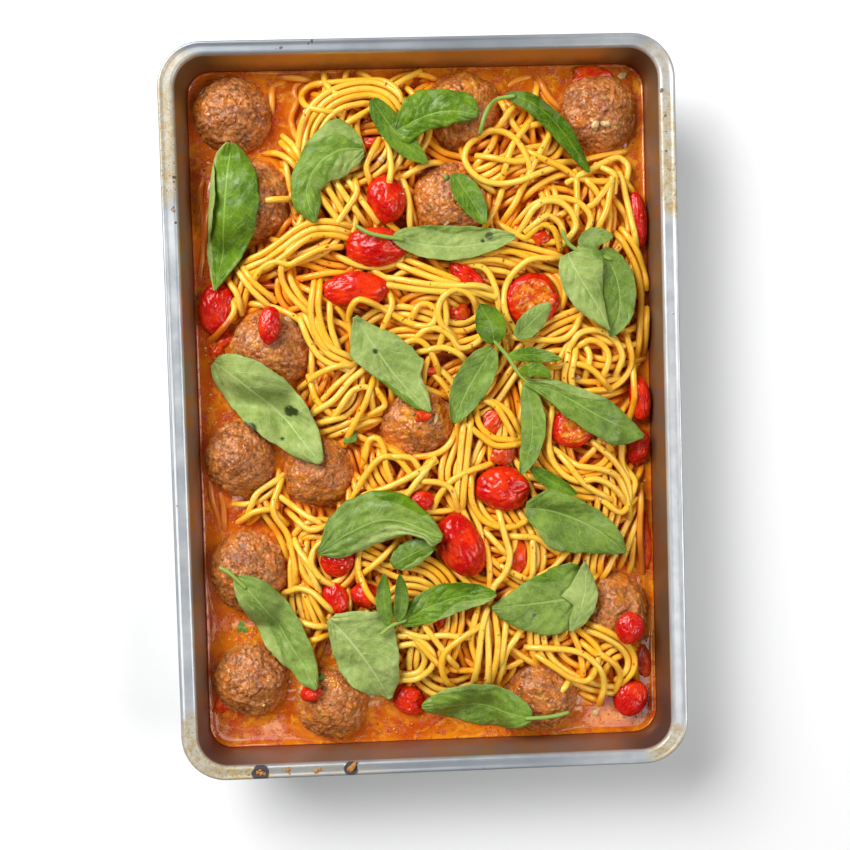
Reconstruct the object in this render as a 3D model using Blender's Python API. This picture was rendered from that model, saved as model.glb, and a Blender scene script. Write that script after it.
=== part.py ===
"""Spaghetti and meatballs baked in a metal roasting tray.

One fixed piece: the tray, the sauce, the heap of spaghetti, fourteen meatballs,
roasted tomatoes and basil. All layout numbers are millimetres: +X to the right of
the photo, +Y to its top, +Z up, and the origin under the middle of the tray.
"""
import math

import bmesh
import bpy
import numpy as np
from mathutils import Vector, noise

MM = 0.001
GAP = 0.3  # clearance between touching pieces
SHORT_EDGE = 0.00004  # metres; edges below this are closed up after a Boolean

# Tray
RIM_HALF_X = 115.0
RIM_HALF_Y = 165.0
RIM_CORNER = 20.0
RIM_TOP = 45.0
FLANGE_TOP = 44.4
LIP_BOTTOM = 40.9
OPENING_HALF_X = 108.0
OPENING_HALF_Y = 159.0
OPENING_CORNER = 14.0
WALL_SLOPE = math.tan(math.radians(9.0))
SHEET = 1.2
CORNER_STEPS = 4

# Sauce and heap levels
SAUCE_TOP = 24.0
HEAP_FOOT = SAUCE_TOP + GAP
HEAP_EDGE = 26.0
HEAP_RISE = 4.6
HEAP_SHOULDER = 15.0
NOODLE_RADIUS = 1.5
NOODLE_LAYER = 5.0  # room kept above the heap for the strands that show

# Relief map used to lay things on one another
CELL = 1.0
MAP_HALF_X = 112.0
MAP_HALF_Y = 162.0
DRAPE_REACH = 5
LEAF_THICK = 0.8
LEAF_CLEAR = 0.7
STEM_RADIUS = 1.1

# Meatballs: centre x, centre y, half width x, half width y
MEATBALL_BASE = SHEET + GAP
MEATBALL_HALF_Z = 18.4
MEATBALL_WIDEN = 1.04  # makes up for what the lumps and the few rings take off the measured width
MEATBALLS = (
    (-84.3, 136.0, 19.2, 18.7),
    (-76.4, 97.4, 19.5, 19.4),
    (20.9, 135.3, 19.2, 19.2),
    (15.1, 94.2, 20.2, 20.0),
    (83.4, 133.4, 19.2, 19.2),
    (-70.0, 29.3, 20.4, 20.2),
    (-86.2, -21.2, 17.2, 18.9),
    (-50.3, -27.9, 18.2, 18.3),
    (-4.1, -6.7, 18.8, 18.8),
    (-84.2, -73.3, 19.0, 20.2),
    (-84.8, -123.6, 18.5, 18.7),
    (-48.0, -135.6, 18.7, 18.7),
    (84.2, -97.3, 19.0, 19.2),
    (50.2, -136.0, 18.0, 18.0),
)

# Ground plan of the heap above the sauce
HEAP_OUTLINE = (
    (-66, 143), (-56, 150), (-40, 153.5), (-26, 154.5), (-12, 151.5), (2, 152), (38, 150),
    (52, 146), (62, 132), (78, 113), (94, 114), (100, 100), (100, 72), (103.4, 62),
    (103.4, 22), (99, 13), (94, 12), (92, -12), (92, -31), (98, -36), (98, -46), (95, -60),
    (93, -74), (96, -92), (95, -126), (86, -136), (64, -139), (50, -136), (32, -131),
    (14, -131), (0, -136), (-5, -126), (-20, -126), (-34, -118), (-50, -114), (-60, -108),
    (-64, -94), (-70, -72), (-67, -52), (-86, -50), (-89, -43), (-82, -37), (-60, -28),
    (-48, -24), (-50, -8), (-56, 4), (-58, 14), (-66, 28), (-74, 44), (-85, 46), (-86, 60),
    (-80, 68), (-74, 78), (-70, 92), (-68, 112), (-60, 124),
)

# Rounded rises of the heap: centre x, centre y, height, spread
HEAP_RISES = (
    (-30, 138, 3.0, 18), (42, 108, 3.6, 20), (60, 84, 3.4, 18), (-45, 62, 3.0, 18),
    (8, 48, 3.4, 18), (76, 20, 4.2, 20), (74, -30, 3.6, 20), (-38, 14, 2.6, 14),
    (18, -108, 4.0, 20), (-46, -72, 2.4, 18), (38, -64, 3.0, 18), (70, -112, 2.2, 16),
    (-10, -30, 2.6, 16),
)

# Nests of strands on the heap: centre x, y, first and last radius, strands, start, sweep
NESTS = (
    (-26, 122, 14, 24, 3, 30, 135),
    (33, 112, 12, 12, 1, -60, 300),
    (58, 82, 7, 14, 2, -25, 205),
    (-48, 62, 11, 20, 3, 110, 120),
    (12, 44, 6, 12, 2, 10, 210),
    (77, 20, 7, 15, 3, -20, 280),
    (76, -22, 12, 20, 3, 170, 180),
    (-34, 6, 12, 12, 1, 30, 140),
    (14, -114, 8, 15, 2, 60, 170),
    (-14, -114, 8, 8, 1, -100, 190),
    (-46, -62, 15, 15, 1, 120, 130),
    (68, -120, 12, 18, 2, -30, 120),
    (-14, -34, 10, 10, 1, 20, 150),
)
NOODLE_SIDES = 5
NOODLE_STEP_DEG = 26.0
NOODLE_SEED = 11

# Tomatoes: name, centre x, y, half length, half width, turn, half height, dish depth share
TOMATOES = (
    ("tomato_01", -15.5, 95.5, 12.0, 9.5, 100, 8.0, 0.0),
    ("tomato_02", -21.0, 73.8, 14.6, 9.8, 0, 7.0, 0.0),
    ("tomato_03", -30.6, 54.8, 16.2, 8.8, 0, 6.0, 0.0),
    ("tomato_04", -94.8, 48.5, 13.2, 8.8, 82, 7.0, 0.0),
    ("tomato_05", 100.0, 84.0, 14.2, 4.8, 94, 5.0, 0.0),
    ("tomato_06", 50.0, 48.5, 13.5, 12.5, 20, 6.0, 0.5),
    ("tomato_07", 20.5, 59.0, 10.5, 5.0, -40, 4.5, 0.0),
    ("tomato_08", 67.5, -10.5, 11.0, 10.0, 30, 6.0, 0.45),
    ("tomato_09", 99.6, 1.4, 11.6, 5.4, 96, 7.0, 0.0),
    ("tomato_10", 98.6, -21.5, 9.0, 6.0, 80, 7.5, 0.0),
    ("tomato_11", 34.0, -38.0, 13.5, 11.0, -8, 8.0, 0.0),
    ("tomato_12", 14.0, -63.5, 16.0, 11.5, -62, 8.5, 0.0),
    ("tomato_13", -42.8, -69.0, 8.2, 7.4, 0, 5.0, 0.0),
    ("tomato_14", -44.0, -86.6, 9.0, 6.2, 105, 5.0, 0.0),
    ("tomato_15", -30.2, -85.4, 7.8, 6.2, -25, 5.5, 0.0),
    ("tomato_16", -11.8, -136.5, 8.6, 7.2, -35, 5.0, 0.0),
    ("tomato_17", 90.3, -103.5, 8.0, 6.8, 80, 4.5, 0.0),
    ("tomato_18", 92.5, -139.5, 9.5, 8.0, 60, 4.0, 0.0),
    ("tomato_19", -69.6, 39.5, 9.2, 5.2, 85, 4.5, 0.0),
    ("tomato_20", -3.6, -42.5, 6.5, 5.0, 0, 4.0, 0.0),
    ("tomato_21", -56.4, -128.6, 5.4, 4.0, 15, 3.0, 0.0),
)
TOMATO_ROUND = 9
TOMATO_RINGS = 4
TOMATO_SKIRT = 7.0


# How a blade widens from its base: the power, and the profile's greatest value
BLUNT_BASE = (0.55, 0.4255)
TAPERED_BASE = (1.1, 0.295)


def leaf(path, left, right, **shape):
    """One leaf blade: midrib path from base to tip and its two greatest half widths."""
    spec = {"path": path, "left": left, "right": right, "lift": 0.0, "cup": 0.0, "crown": 0.0,
            "tip_up": 0.0, "seat": 0.0, "roll_left": None, "roll_right": None, "form": BLUNT_BASE}
    spec.update(shape)
    return spec


# Basil in the order it was laid: name, blades, stems
BASIL = (
    ("basil_dark_curl", (leaf(((-18, -71), (-8, -66), (2, -61)), 6.5, 6.0, crown=1.5),), ()),
    ("basil_ribbed", (leaf(((-51, -64), (-36, -55), (-18, -50), (5, -58)), 13.0, 10.5, crown=2.5),), ()),
    ("basil_cluster", (
        leaf(((84, 68), (89, 56), (91, 42), (89, 28)), 5.5, 7.0, cup=1.0),
        leaf(((71, 71), (77, 75), (86.5, 75.5)), 4.5, 4.5, seat=0.6, lift=0.8, cup=0.6),
        leaf(((66, 66), (70, 58), (77, 46), (83, 33)), 12.5, 10.0, seat=1.2, lift=2.2, crown=1.5),
    ), (((63, 79), (65.5, 73), (71, 69), (78, 67.5), (86, 65)),)),
    ("basil_rolled", (leaf(((46.5, -28.5), (56, -35), (67, -41)), 3.6, 3.6, cup=1.6),), ()),
    ("basil_broad", (leaf(((43.5, -46.5), (58, -49), (75, -57), (89.5, -68.5)), 10.0, 17.0, crown=1.5),), ()),
    ("basil_folded", (
        leaf(((69, -89), (55, -90), (42, -91), (27, -91.5)), 17.0, 16.0, crown=1.5),
        leaf(((63, -104), (67, -95), (70, -85), (70, -72)), 7.0, 6.5, seat=0.45, lift=1.8, crown=1.0),
    ), ()),
    ("basil_pale_low", (leaf(((-47, -94.5), (-38, -105), (-29, -118), (-20.5, -134)), 13.5, 12.0, crown=1.8),), ()),
    ("basil_sprig_low", (
        leaf(((-20, -98), (-22, -87), (-21.5, -74)), 3.8, 3.6, seat=0.7, cup=1.0, tip_up=3.0),
        leaf(((-16, -96.6), (-14, -86), (-14.5, -74)), 3.4, 3.4, seat=1.5, lift=1.6, cup=1.0, tip_up=3.0),
        leaf(((-14.5, -97.5), (-4, -92), (10, -87), (29, -85)), 8.5, 7.0, seat=0.1, cup=1.2),
    ), (((-24, -102), (-18.5, -98), (-12, -96)),)),
    ("basil_long_left", (leaf(((-88, -74), (-79, -85), (-69, -101), (-54, -125.5)), 10.5, 10.0, crown=2.0),),
     (((-96, -69), (-91, -72), (-84, -79)),)),
    ("basil_bottom", (leaf(((44, -143.5), (30, -141), (12, -138), (-6, -138)), 10.0, 12.5, crown=2.0),),
     (((61.5, -141.5), (52, -143), (41, -143.5)),)),
    ("basil_big_left", (leaf(((-96.5, 24), (-82, 13), (-66, -2), (-48.5, -23)), 14.0, 13.5, crown=2.0),), ()),
    ("basil_pale_centre", (leaf(((-31, 42.5), (-23, 29), (-13, 14), (1.5, -1.5)), 12.0, 12.0, crown=1.0),), ()),
    ("basil_sprig_centre", (
        leaf(((31, 26.5), (24, 16), (18, 6), (12, -7)), 8.5, 8.5, cup=1.6),
        leaf(((45.5, 10), (48, -5), (47, -18), (41.5, -31)), 6.0, 5.5, cup=1.0),
        leaf(((45, 11), (60, 5), (78, -6), (99, -15.5)), 10.5, 10.0, seat=1.1, lift=1.8, crown=1.6),
        leaf(((37.5, 22.5), (48, 23), (61, 20.5)), 3.4, 3.4, seat=0.6, lift=2.0, tip_up=2.0),
        leaf(((42.5, 15), (50, 16), (56, 12.5)), 3.6, 3.2, seat=1.4, lift=4.0),
        leaf(((31.5, 28.5), (30, 37), (25, 46)), 7.5, 7.0, seat=1.1, lift=1.0, cup=1.0, tip_up=2.0),
    ), (((31, 30), (37, 23), (42, 15), (47, 9.5)),)),
    ("basil_small_right", (leaf(((41, 31), (49, 38), (57, 46)), 5.5, 5.5, crown=0.8),), ()),
    ("basil_long_centre", (leaf(((-13, 77), (2, 73.5), (18, 72.5), (42, 76)), 10.0, 6.2, cup=1.2),),
     (((-30, 83), (-22, 78.7), (-8, 76)),)),
    ("basil_short_bright", (leaf(((15, 105), (21, 96), (25, 89), (28, 82)), 6.0, 6.2, cup=1.5),), ()),
    ("basil_pair", (
        leaf(((-20.5, 139), (-14, 129), (-6, 119), (3.5, 110.5)), 6.2, 6.2, cup=0.6),
        leaf(((-10, 125), (5, 131), (16, 132), (26.5, 130)), 10.0, 8.5, seat=0.45, lift=2.4, crown=1.5),
    ), ()),
    ("basil_bent", (leaf(((-25, 117.5), (-36, 116.5), (-46, 110), (-51, 99), (-48, 85)), 11.5, 14.5, crown=2.0),), ()),
    ("basil_tall_left", (leaf(((-94.5, 56), (-89.5, 80), (-87, 100), (-84.5, 121.5)), 12.5, 15.5, crown=1.0,
                              roll_left=(5.5, 1.7, 150.0), form=TAPERED_BASE),), ()),
    ("basil_arched", (leaf(((40, 140.3), (50, 137), (60, 129), (69, 117), (76.5, 104.5)), 5.2, 5.2, crown=0.8),),
     (((27, 121.5), (29.5, 130), (35, 137.5), (44, 139.5)),)),
)
LEAF_STEPS = 6
SHORT_LEAF_STEPS = 4
SHORT_LEAF = 30.0
LEAF_COLUMNS = (-1.0, -0.5, 0.0, 0.5, 1.0)
ROLLED_COLUMNS = (-1.0, -0.86, -0.72, -0.58, -0.3, 0.0, 0.5, 1.0)

MATERIALS = {
    "tray_metal": ((0.55, 0.56, 0.56), 0.38, 0.9),
    "tomato_sauce": ((0.56, 0.10, 0.015), 0.22, 0.0),
    "spaghetti_strands": ((0.80, 0.42, 0.06), 0.38, 0.0),
    "meatball_crust": ((0.30, 0.12, 0.045), 0.55, 0.0),
    "tomato_skin": ((0.60, 0.018, 0.008), 0.18, 0.0),
    "basil_leaf": ((0.13, 0.27, 0.04), 0.5, 0.0),
}


def clear_scene():
    for obj in list(bpy.data.objects):
        bpy.data.objects.remove(obj, do_unlink=True)


def material(slot):
    found = bpy.data.materials.get(slot)
    if found:
        return found
    colour, roughness, metallic = MATERIALS[slot]
    made = bpy.data.materials.new(slot)
    made.use_nodes = True
    shader = made.node_tree.nodes["Principled BSDF"]
    shader.inputs["Base Color"].default_value = (*colour, 1.0)
    shader.inputs["Roughness"].default_value = roughness
    shader.inputs["Metallic"].default_value = metallic
    made.diffuse_color = (*colour, 1.0)
    return made


def add_object(name, points, faces, slot):
    """Makes a mesh object from millimetre points, with its faces turned outward."""
    mesh = bpy.data.meshes.new(name)
    mesh.from_pydata([(x * MM, y * MM, z * MM) for x, y, z in points], [], faces)
    tidy = bmesh.new()
    tidy.from_mesh(mesh)
    bmesh.ops.triangulate(tidy, faces=tidy.faces[:])
    bmesh.ops.recalc_face_normals(tidy, faces=tidy.faces[:])
    tidy.to_mesh(mesh)
    tidy.free()
    mesh.materials.append(material(slot))
    obj = bpy.data.objects.new(name, mesh)
    bpy.context.scene.collection.objects.link(obj)
    return obj


def combine(target, others, operation):
    """Applies one Boolean of a collection of objects to the target and removes them."""
    holder = bpy.data.collections.new(target.name + "_parts")
    bpy.context.scene.collection.children.link(holder)
    for other in others:
        bpy.context.scene.collection.objects.unlink(other)
        holder.objects.link(other)
    modifier = target.modifiers.new("combine", "BOOLEAN")
    modifier.operation = operation
    modifier.operand_type = "COLLECTION"
    modifier.collection = holder
    modifier.solver = "EXACT"
    modifier.use_self = False
    graph = bpy.context.evaluated_depsgraph_get()
    result = bpy.data.meshes.new_from_object(target.evaluated_get(graph))
    target.modifiers.remove(modifier)
    old = target.data
    slot = old.materials[0]
    target.data = result
    result.materials.clear()
    result.materials.append(slot)
    bpy.data.meshes.remove(old)
    for other in others:
        bpy.data.objects.remove(other, do_unlink=True)
    bpy.data.collections.remove(holder)
    settle(target)


def settle(obj):
    """Drops slivers and loose scrap, and leaves one triangulated outward body."""
    mesh = bmesh.new()
    mesh.from_mesh(obj.data)
    bmesh.ops.triangulate(mesh, faces=mesh.faces[:])
    collapse_slivers(mesh)
    islands = face_islands(mesh)
    islands.sort(key=len, reverse=True)
    scrap = [face for island in islands[1:] for face in island]
    if scrap:
        bmesh.ops.delete(mesh, geom=scrap, context="FACES")
        loose = [vert for vert in mesh.verts if not vert.link_faces]
        bmesh.ops.delete(mesh, geom=loose, context="VERTS")
    bmesh.ops.recalc_face_normals(mesh, faces=mesh.faces[:])
    mesh.to_mesh(obj.data)
    mesh.free()
    for polygon in obj.data.polygons:
        polygon.material_index = 0


def collapse_slivers(mesh):
    """Collapses very short edges one by one where the surface stays closed."""
    for edge in sorted(mesh.edges, key=lambda item: item.calc_length()):
        if not edge.is_valid or edge.calc_length() > SHORT_EDGE:
            continue
        start, end = edge.verts
        shared = {e.other_vert(start) for e in start.link_edges} & {e.other_vert(end) for e in end.link_edges}
        if len(edge.link_faces) == 2 and len(shared) == 2:
            bmesh.ops.pointmerge(mesh, verts=[start, end], merge_co=(start.co + end.co) / 2)


def face_islands(mesh):
    seen = set()
    islands = []
    for start in mesh.faces:
        if start in seen:
            continue
        island = []
        waiting = [start]
        seen.add(start)
        while waiting:
            face = waiting.pop()
            island.append(face)
            for edge in face.edges:
                for near in edge.link_faces:
                    if near not in seen:
                        seen.add(near)
                        waiting.append(near)
        islands.append(island)
    return islands


def rounded_ring(half_x, half_y, corner, z):
    """Points of a rounded rectangle, counter-clockwise, at height z."""
    points = []
    quarter = math.pi / 2
    for index, (sign_x, sign_y) in enumerate(((1, 1), (-1, 1), (-1, -1), (1, -1))):
        centre_x = sign_x * (half_x - corner)
        centre_y = sign_y * (half_y - corner)
        for step in range(CORNER_STEPS + 1):
            angle = quarter * index + quarter * step / CORNER_STEPS
            points.append((centre_x + corner * math.cos(angle), centre_y + corner * math.sin(angle), z))
    return points


def loft(rings):
    """Skins rings of equal length in their order and caps the first and the last."""
    size = len(rings[0])
    points = [point for ring in rings for point in ring]
    faces = [tuple(range(size)), tuple(range(len(points) - size, len(points)))]
    for row in range(len(rings) - 1):
        for col in range(size):
            nxt = (col + 1) % size
            faces.append((row * size + col, row * size + nxt, (row + 1) * size + nxt, (row + 1) * size + col))
    return points, faces


def wall_ring(z, outward):
    """Ring that follows the sloping inner wall at height z, moved outward by some millimetres."""
    inset = (FLANGE_TOP - z) * WALL_SLOPE - outward
    return rounded_ring(OPENING_HALF_X - inset, OPENING_HALF_Y - inset, OPENING_CORNER - inset, z)


def rim_ring(inward, z):
    return rounded_ring(RIM_HALF_X - inward, RIM_HALF_Y - inward, RIM_CORNER - inward, z)


def build_tray():
    bend = 1.0
    turned = rounded_ring(OPENING_HALF_X + bend, OPENING_HALF_Y + bend, OPENING_CORNER + bend, FLANGE_TOP)
    under = rounded_ring(OPENING_HALF_X + bend + 0.4, OPENING_HALF_Y + bend + 0.4,
                         OPENING_CORNER + bend + 0.4, FLANGE_TOP - SHEET)
    rings = [
        wall_ring(SHEET, -5.0),
        wall_ring(SHEET + 0.9, -1.5),
        wall_ring(SHEET + 3.6, 0.0),
        wall_ring(FLANGE_TOP - 1.6, 0.0),
        turned,
        rim_ring(2.2, FLANGE_TOP),
        rim_ring(1.2, RIM_TOP),
        rim_ring(0.0, RIM_TOP - 0.9),
        rim_ring(0.0, LIP_BOTTOM + 0.7),
        rim_ring(0.8, LIP_BOTTOM),
        rim_ring(1.5, LIP_BOTTOM + 0.7),
        rim_ring(1.6, FLANGE_TOP - SHEET),
        under,
        wall_ring(FLANGE_TOP - 3.2, SHEET),
        wall_ring(SHEET + 2.6, SHEET),
        wall_ring(0.7, -0.9),
        wall_ring(0.0, -4.0),
    ]
    points, faces = loft(rings)
    return add_object("tray", points, faces, "tray_metal")


def well(ball, z_low, z_high, sides=11):
    """Upright prism round a meatball, used to make room for it."""
    centre_x, centre_y, half_x, half_y = ball
    grow = 1.0 / math.cos(math.pi / sides)
    rings = []
    for z in (z_low, z_high):
        ring = []
        for step in range(sides):
            angle = 2 * math.pi * step / sides
            ring.append((centre_x + (half_x + GAP) * grow * math.cos(angle),
                         centre_y + (half_y + GAP) * grow * math.sin(angle), z))
        rings.append(ring)
    points, faces = loft(rings)
    return add_object("well", points, faces, "tomato_sauce")


def build_sauce():
    low = SHEET + GAP
    rings = [wall_ring(low, -5.5), wall_ring(low + 3.6, -GAP), wall_ring(SAUCE_TOP, -GAP)]
    points, faces = loft(rings)
    sauce = add_object("sauce", points, faces, "tomato_sauce")
    combine(sauce, [well(ball, -2.0, SAUCE_TOP + 5.0) for ball in MEATBALLS], "DIFFERENCE")
    return sauce


def lump(seed, x, y, z, amount):
    """Smooth uneven factor, never above one, for a point on a unit ball."""
    value = noise.noise(Vector((x * 1.6 + seed * 7.3, y * 1.6 - seed * 3.1, z * 1.6 + seed)))
    return 1.0 - amount * (0.5 + 0.5 * value)


def ball_rings(count_around, count_rings):
    """Unit ball as rows of points between its two poles."""
    rows = []
    for ring in range(1, count_rings + 1):
        polar = math.pi * ring / (count_rings + 1)
        row = []
        for step in range(count_around):
            angle = 2 * math.pi * (step + 0.5 * (ring % 2)) / count_around
            row.append((math.sin(polar) * math.cos(angle), math.sin(polar) * math.sin(angle), math.cos(polar)))
        rows.append(row)
    return rows


def skin_ball(rows, top, bottom):
    size = len(rows[0])
    points = [top] + [point for row in rows for point in row] + [bottom]
    last = len(points) - 1
    faces = []
    for step in range(size):
        nxt = (step + 1) % size
        faces.append((0, 1 + step, 1 + nxt))
        faces.append((last, last - size + nxt, last - size + step))
        for ring in range(len(rows) - 1):
            here = 1 + ring * size
            below = here + size
            faces.append((here + step, below + step, below + nxt, here + nxt))
    return points, faces


def meatball_centre_z():
    return MEATBALL_BASE + MEATBALL_HALF_Z


def build_meatball(number, ball):
    centre_x, centre_y, half_x, half_y = ball
    centre_z = meatball_centre_z()
    rows = []
    for row in ball_rings(12, 6):
        shaped = []
        for x, y, z in row:
            factor = lump(number, x, y, z, 0.07)
            wide = factor * MEATBALL_WIDEN
            shaped.append((centre_x + half_x * x * wide, centre_y + half_y * y * wide,
                           centre_z + MEATBALL_HALF_Z * z * factor))
        rows.append(shaped)
    top = (centre_x, centre_y, centre_z + MEATBALL_HALF_Z * lump(number, 0, 0, 1, 0.07))
    bottom = (centre_x, centre_y, MEATBALL_BASE + 0.1)
    points, faces = skin_ball(rows, top, bottom)
    return add_object("meatball_%02d" % number, points, faces, "meatball_crust")


def outline_depth(x, y):
    """Distance inside the heap outline, below zero outside it."""
    x = np.asarray(x, dtype=float)
    y = np.asarray(y, dtype=float)
    nearest = np.full(x.shape, 1e9)
    inside = np.zeros(x.shape, dtype=bool)
    count = len(HEAP_OUTLINE)
    for index in range(count):
        ax, ay = HEAP_OUTLINE[index]
        bx, by = HEAP_OUTLINE[(index + 1) % count]
        span_x = bx - ax
        span_y = by - ay
        share = ((x - ax) * span_x + (y - ay) * span_y) / (span_x ** 2 + span_y ** 2)
        share = np.clip(share, 0.0, 1.0)
        nearest = np.minimum(nearest, np.hypot(x - ax - share * span_x, y - ay - share * span_y))
        crosses = (ay > y) != (by > y)
        if span_y != 0:
            inside ^= crosses & (x < ax + (y - ay) / span_y * span_x)
    return np.where(inside, nearest, -nearest)


def heap_height(x, y):
    """Top of the heap's core; it runs down to its edge height at the outline."""
    depth = np.clip(outline_depth(x, y) / HEAP_SHOULDER, 0.0, 1.0)
    swell = depth * depth * (3 - 2 * depth)
    height = HEAP_EDGE + HEAP_RISE * swell
    for centre_x, centre_y, rise, spread in HEAP_RISES:
        away = (x - centre_x) ** 2 + (y - centre_y) ** 2
        height = height + swell * rise * np.exp(-away / (2 * (spread * 0.75) ** 2))
    return height


class Relief:
    """Height map of everything laid so far."""

    def __init__(self):
        self.nx = int(2 * MAP_HALF_X / CELL) + 1
        self.ny = int(2 * MAP_HALF_Y / CELL) + 1
        self.x, self.y = np.meshgrid(np.linspace(-MAP_HALF_X, MAP_HALF_X, self.nx),
                                     np.linspace(-MAP_HALF_Y, MAP_HALF_Y, self.ny))
        self.z = np.full((self.ny, self.nx), SAUCE_TOP)

    def raise_to(self, height, where):
        self.z = np.where(where, np.maximum(self.z, height), self.z)

    def add_ball(self, centre_x, centre_y, centre_z, half_x, half_y, half_z):
        share = ((self.x - centre_x) / half_x) ** 2 + ((self.y - centre_y) / half_y) ** 2
        self.raise_to(centre_z + half_z * np.sqrt(np.clip(1 - share, 0, 1)), share < 1)

    def add_points(self, points):
        col = np.clip(np.rint((points[:, 0] + MAP_HALF_X) / CELL).astype(int), 0, self.nx - 1)
        row = np.clip(np.rint((points[:, 1] + MAP_HALF_Y) / CELL).astype(int), 0, self.ny - 1)
        np.maximum.at(self.z, (row, col), points[:, 2])

    def cover(self):
        """Smooth sheet that lies just above the map."""
        wide = self.z
        for axis in (0, 1):
            layers = [np.roll(wide, shift, axis) for shift in range(-DRAPE_REACH, DRAPE_REACH + 1)]
            wide = np.max(layers, axis=0)
        weights = [math.exp(-(shift / 2.6) ** 2) for shift in range(-DRAPE_REACH, DRAPE_REACH + 1)]
        for axis in (0, 1):
            layers = [np.roll(wide, shift - DRAPE_REACH, axis) * weight for shift, weight in enumerate(weights)]
            wide = np.sum(layers, axis=0) / sum(weights)
        return wide

    def sample(self, sheet, x, y):
        """Height of a sheet between its cells."""
        col = np.clip((np.asarray(x) + MAP_HALF_X) / CELL, 0, self.nx - 1.001)
        row = np.clip((np.asarray(y) + MAP_HALF_Y) / CELL, 0, self.ny - 1.001)
        col0 = col.astype(int)
        row0 = row.astype(int)
        fx = col - col0
        fy = row - row0
        low = sheet[row0, col0] * (1 - fx) + sheet[row0, col0 + 1] * fx
        high = sheet[row0 + 1, col0] * (1 - fx) + sheet[row0 + 1, col0 + 1] * fx
        return low * (1 - fy) + high * fy


def smooth_path(controls, count):
    """Curve through the control points, resampled at even lengths."""
    given = np.array(controls, dtype=float)
    padded = np.vstack((2 * given[0] - given[1], given, 2 * given[-1] - given[-2]))
    dense = []
    for index in range(1, len(padded) - 2):
        before, start, end, after = padded[index - 1:index + 3]
        for t in np.linspace(0, 1, 16, endpoint=False):
            dense.append(0.5 * (2 * start + (end - before) * t
                                + (2 * before - 5 * start + 4 * end - after) * t * t
                                + (3 * start - before - 3 * end + after) * t ** 3))
    dense.append(padded[-2])
    dense = np.array(dense)
    lengths = np.concatenate(([0], np.cumsum(np.linalg.norm(np.diff(dense, axis=0), axis=1))))
    even = np.linspace(0, lengths[-1], count)
    return np.column_stack([np.interp(even, lengths, dense[:, axis]) for axis in range(dense.shape[1])])


def tube(path, radius, sides):
    """Closed tube along a path of 3-D millimetre points."""
    rings = []
    side = None
    for index, here in enumerate(path):
        ahead = path[min(index + 1, len(path) - 1)]
        behind = path[max(index - 1, 0)]
        along = Vector(ahead - behind).normalized()
        if side is None:
            side = along.cross(Vector((0, 0, 1))).normalized()
        side = (side - along * side.dot(along)).normalized()
        up = side.cross(along)
        ring = []
        for step in range(sides):
            angle = 2 * math.pi * (step + 0.25) / sides
            ring.append(tuple(Vector(here) + (side * math.cos(angle) + up * math.sin(angle)) * radius))
        rings.append(ring)
    return loft(rings)


def blade_profile(u, form):
    """Share of the greatest half width along the blade, from base to tip."""
    power, greatest = form
    return np.power(u, power) * np.power(1 - u, 0.72) / greatest


def roll_edge(distance, roll):
    """Turns an edge of a blade up and back over it: sideways place and height."""
    start, radius, degrees = roll
    turn = np.clip((distance - start) / radius, 0, math.radians(degrees))
    rest = np.clip(distance - start - radius * math.radians(degrees), 0, None)
    end = math.radians(degrees)
    sideways = np.where(distance > start, start + radius * np.sin(turn) + rest * math.cos(end), distance)
    height = np.where(distance > start, radius * (1 - np.cos(turn)) + rest * math.sin(end), 0)
    return sideways, height


def blade_grid(spec, relief, sheet, steps, columns):
    """Middle surface of a blade as a grid of points draped on the sheet."""
    u = np.linspace(0.012, 0.988, steps + 1)
    path = smooth_path(spec["path"], steps + 1)
    along = np.gradient(path, axis=0)
    along /= np.linalg.norm(along, axis=1)[:, None]
    side = np.column_stack((-along[:, 1], along[:, 0]))
    grid = np.zeros((steps + 1, len(columns), 3))
    eased = np.clip(u / 0.3, 0, 1)
    eased = eased * eased * (3 - 2 * eased)
    for col, v in enumerate(columns):
        half = spec["left"] if v > 0 else spec["right"]
        roll = spec["roll_left"] if v > 0 else spec["roll_right"]
        distance = abs(v) * half * blade_profile(u, spec["form"])
        height = np.zeros_like(distance)
        if roll:
            distance, height = roll_edge(distance, roll)
        sign = 1 if v > 0 else -1
        x = path[:, 0] + side[:, 0] * distance * sign
        y = path[:, 1] + side[:, 1] * distance * sign
        z = relief.sample(sheet, x, y) + LEAF_CLEAR + spec["seat"] + height
        z += eased * (spec["lift"] + spec["cup"] * v * v + spec["crown"] * (1 - v * v))
        z += spec["tip_up"] * u ** 3
        grid[:, col] = np.column_stack((x, y, z))
    return grid


def grid_normals(grid):
    normals = np.cross(np.gradient(grid, axis=1), np.gradient(grid, axis=0))
    normals /= np.linalg.norm(normals, axis=2)[:, :, None]
    middle = normals[:, normals.shape[1] // 2, 2].mean()
    return normals if middle > 0 else -normals


def blade_solid(grid, thickness):
    """Closed thin solid round a grid, both faces split into triangles alike."""
    rows, cols = grid.shape[:2]
    offset = grid_normals(grid) * thickness / 2
    points = [tuple(p) for p in (grid + offset).reshape(-1, 3)]
    points += [tuple(p) for p in (grid - offset).reshape(-1, 3)]
    under = rows * cols
    faces = []
    for row in range(rows - 1):
        for col in range(cols - 1):
            a = row * cols + col
            b = a + 1
            c = a + cols
            d = c + 1
            faces += [(a, b, d), (a, d, c)]
            faces += [(a + under, d + under, b + under), (a + under, c + under, d + under)]
    border = [col for col in range(cols)]
    border += [row * cols + cols - 1 for row in range(1, rows)]
    border += [(rows - 1) * cols + col for col in range(cols - 2, -1, -1)]
    border += [row * cols for row in range(rows - 2, 0, -1)]
    for index, here in enumerate(border):
        nxt = border[(index + 1) % len(border)]
        faces.append((here, nxt, nxt + under, here + under))
    return points, faces


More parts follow.
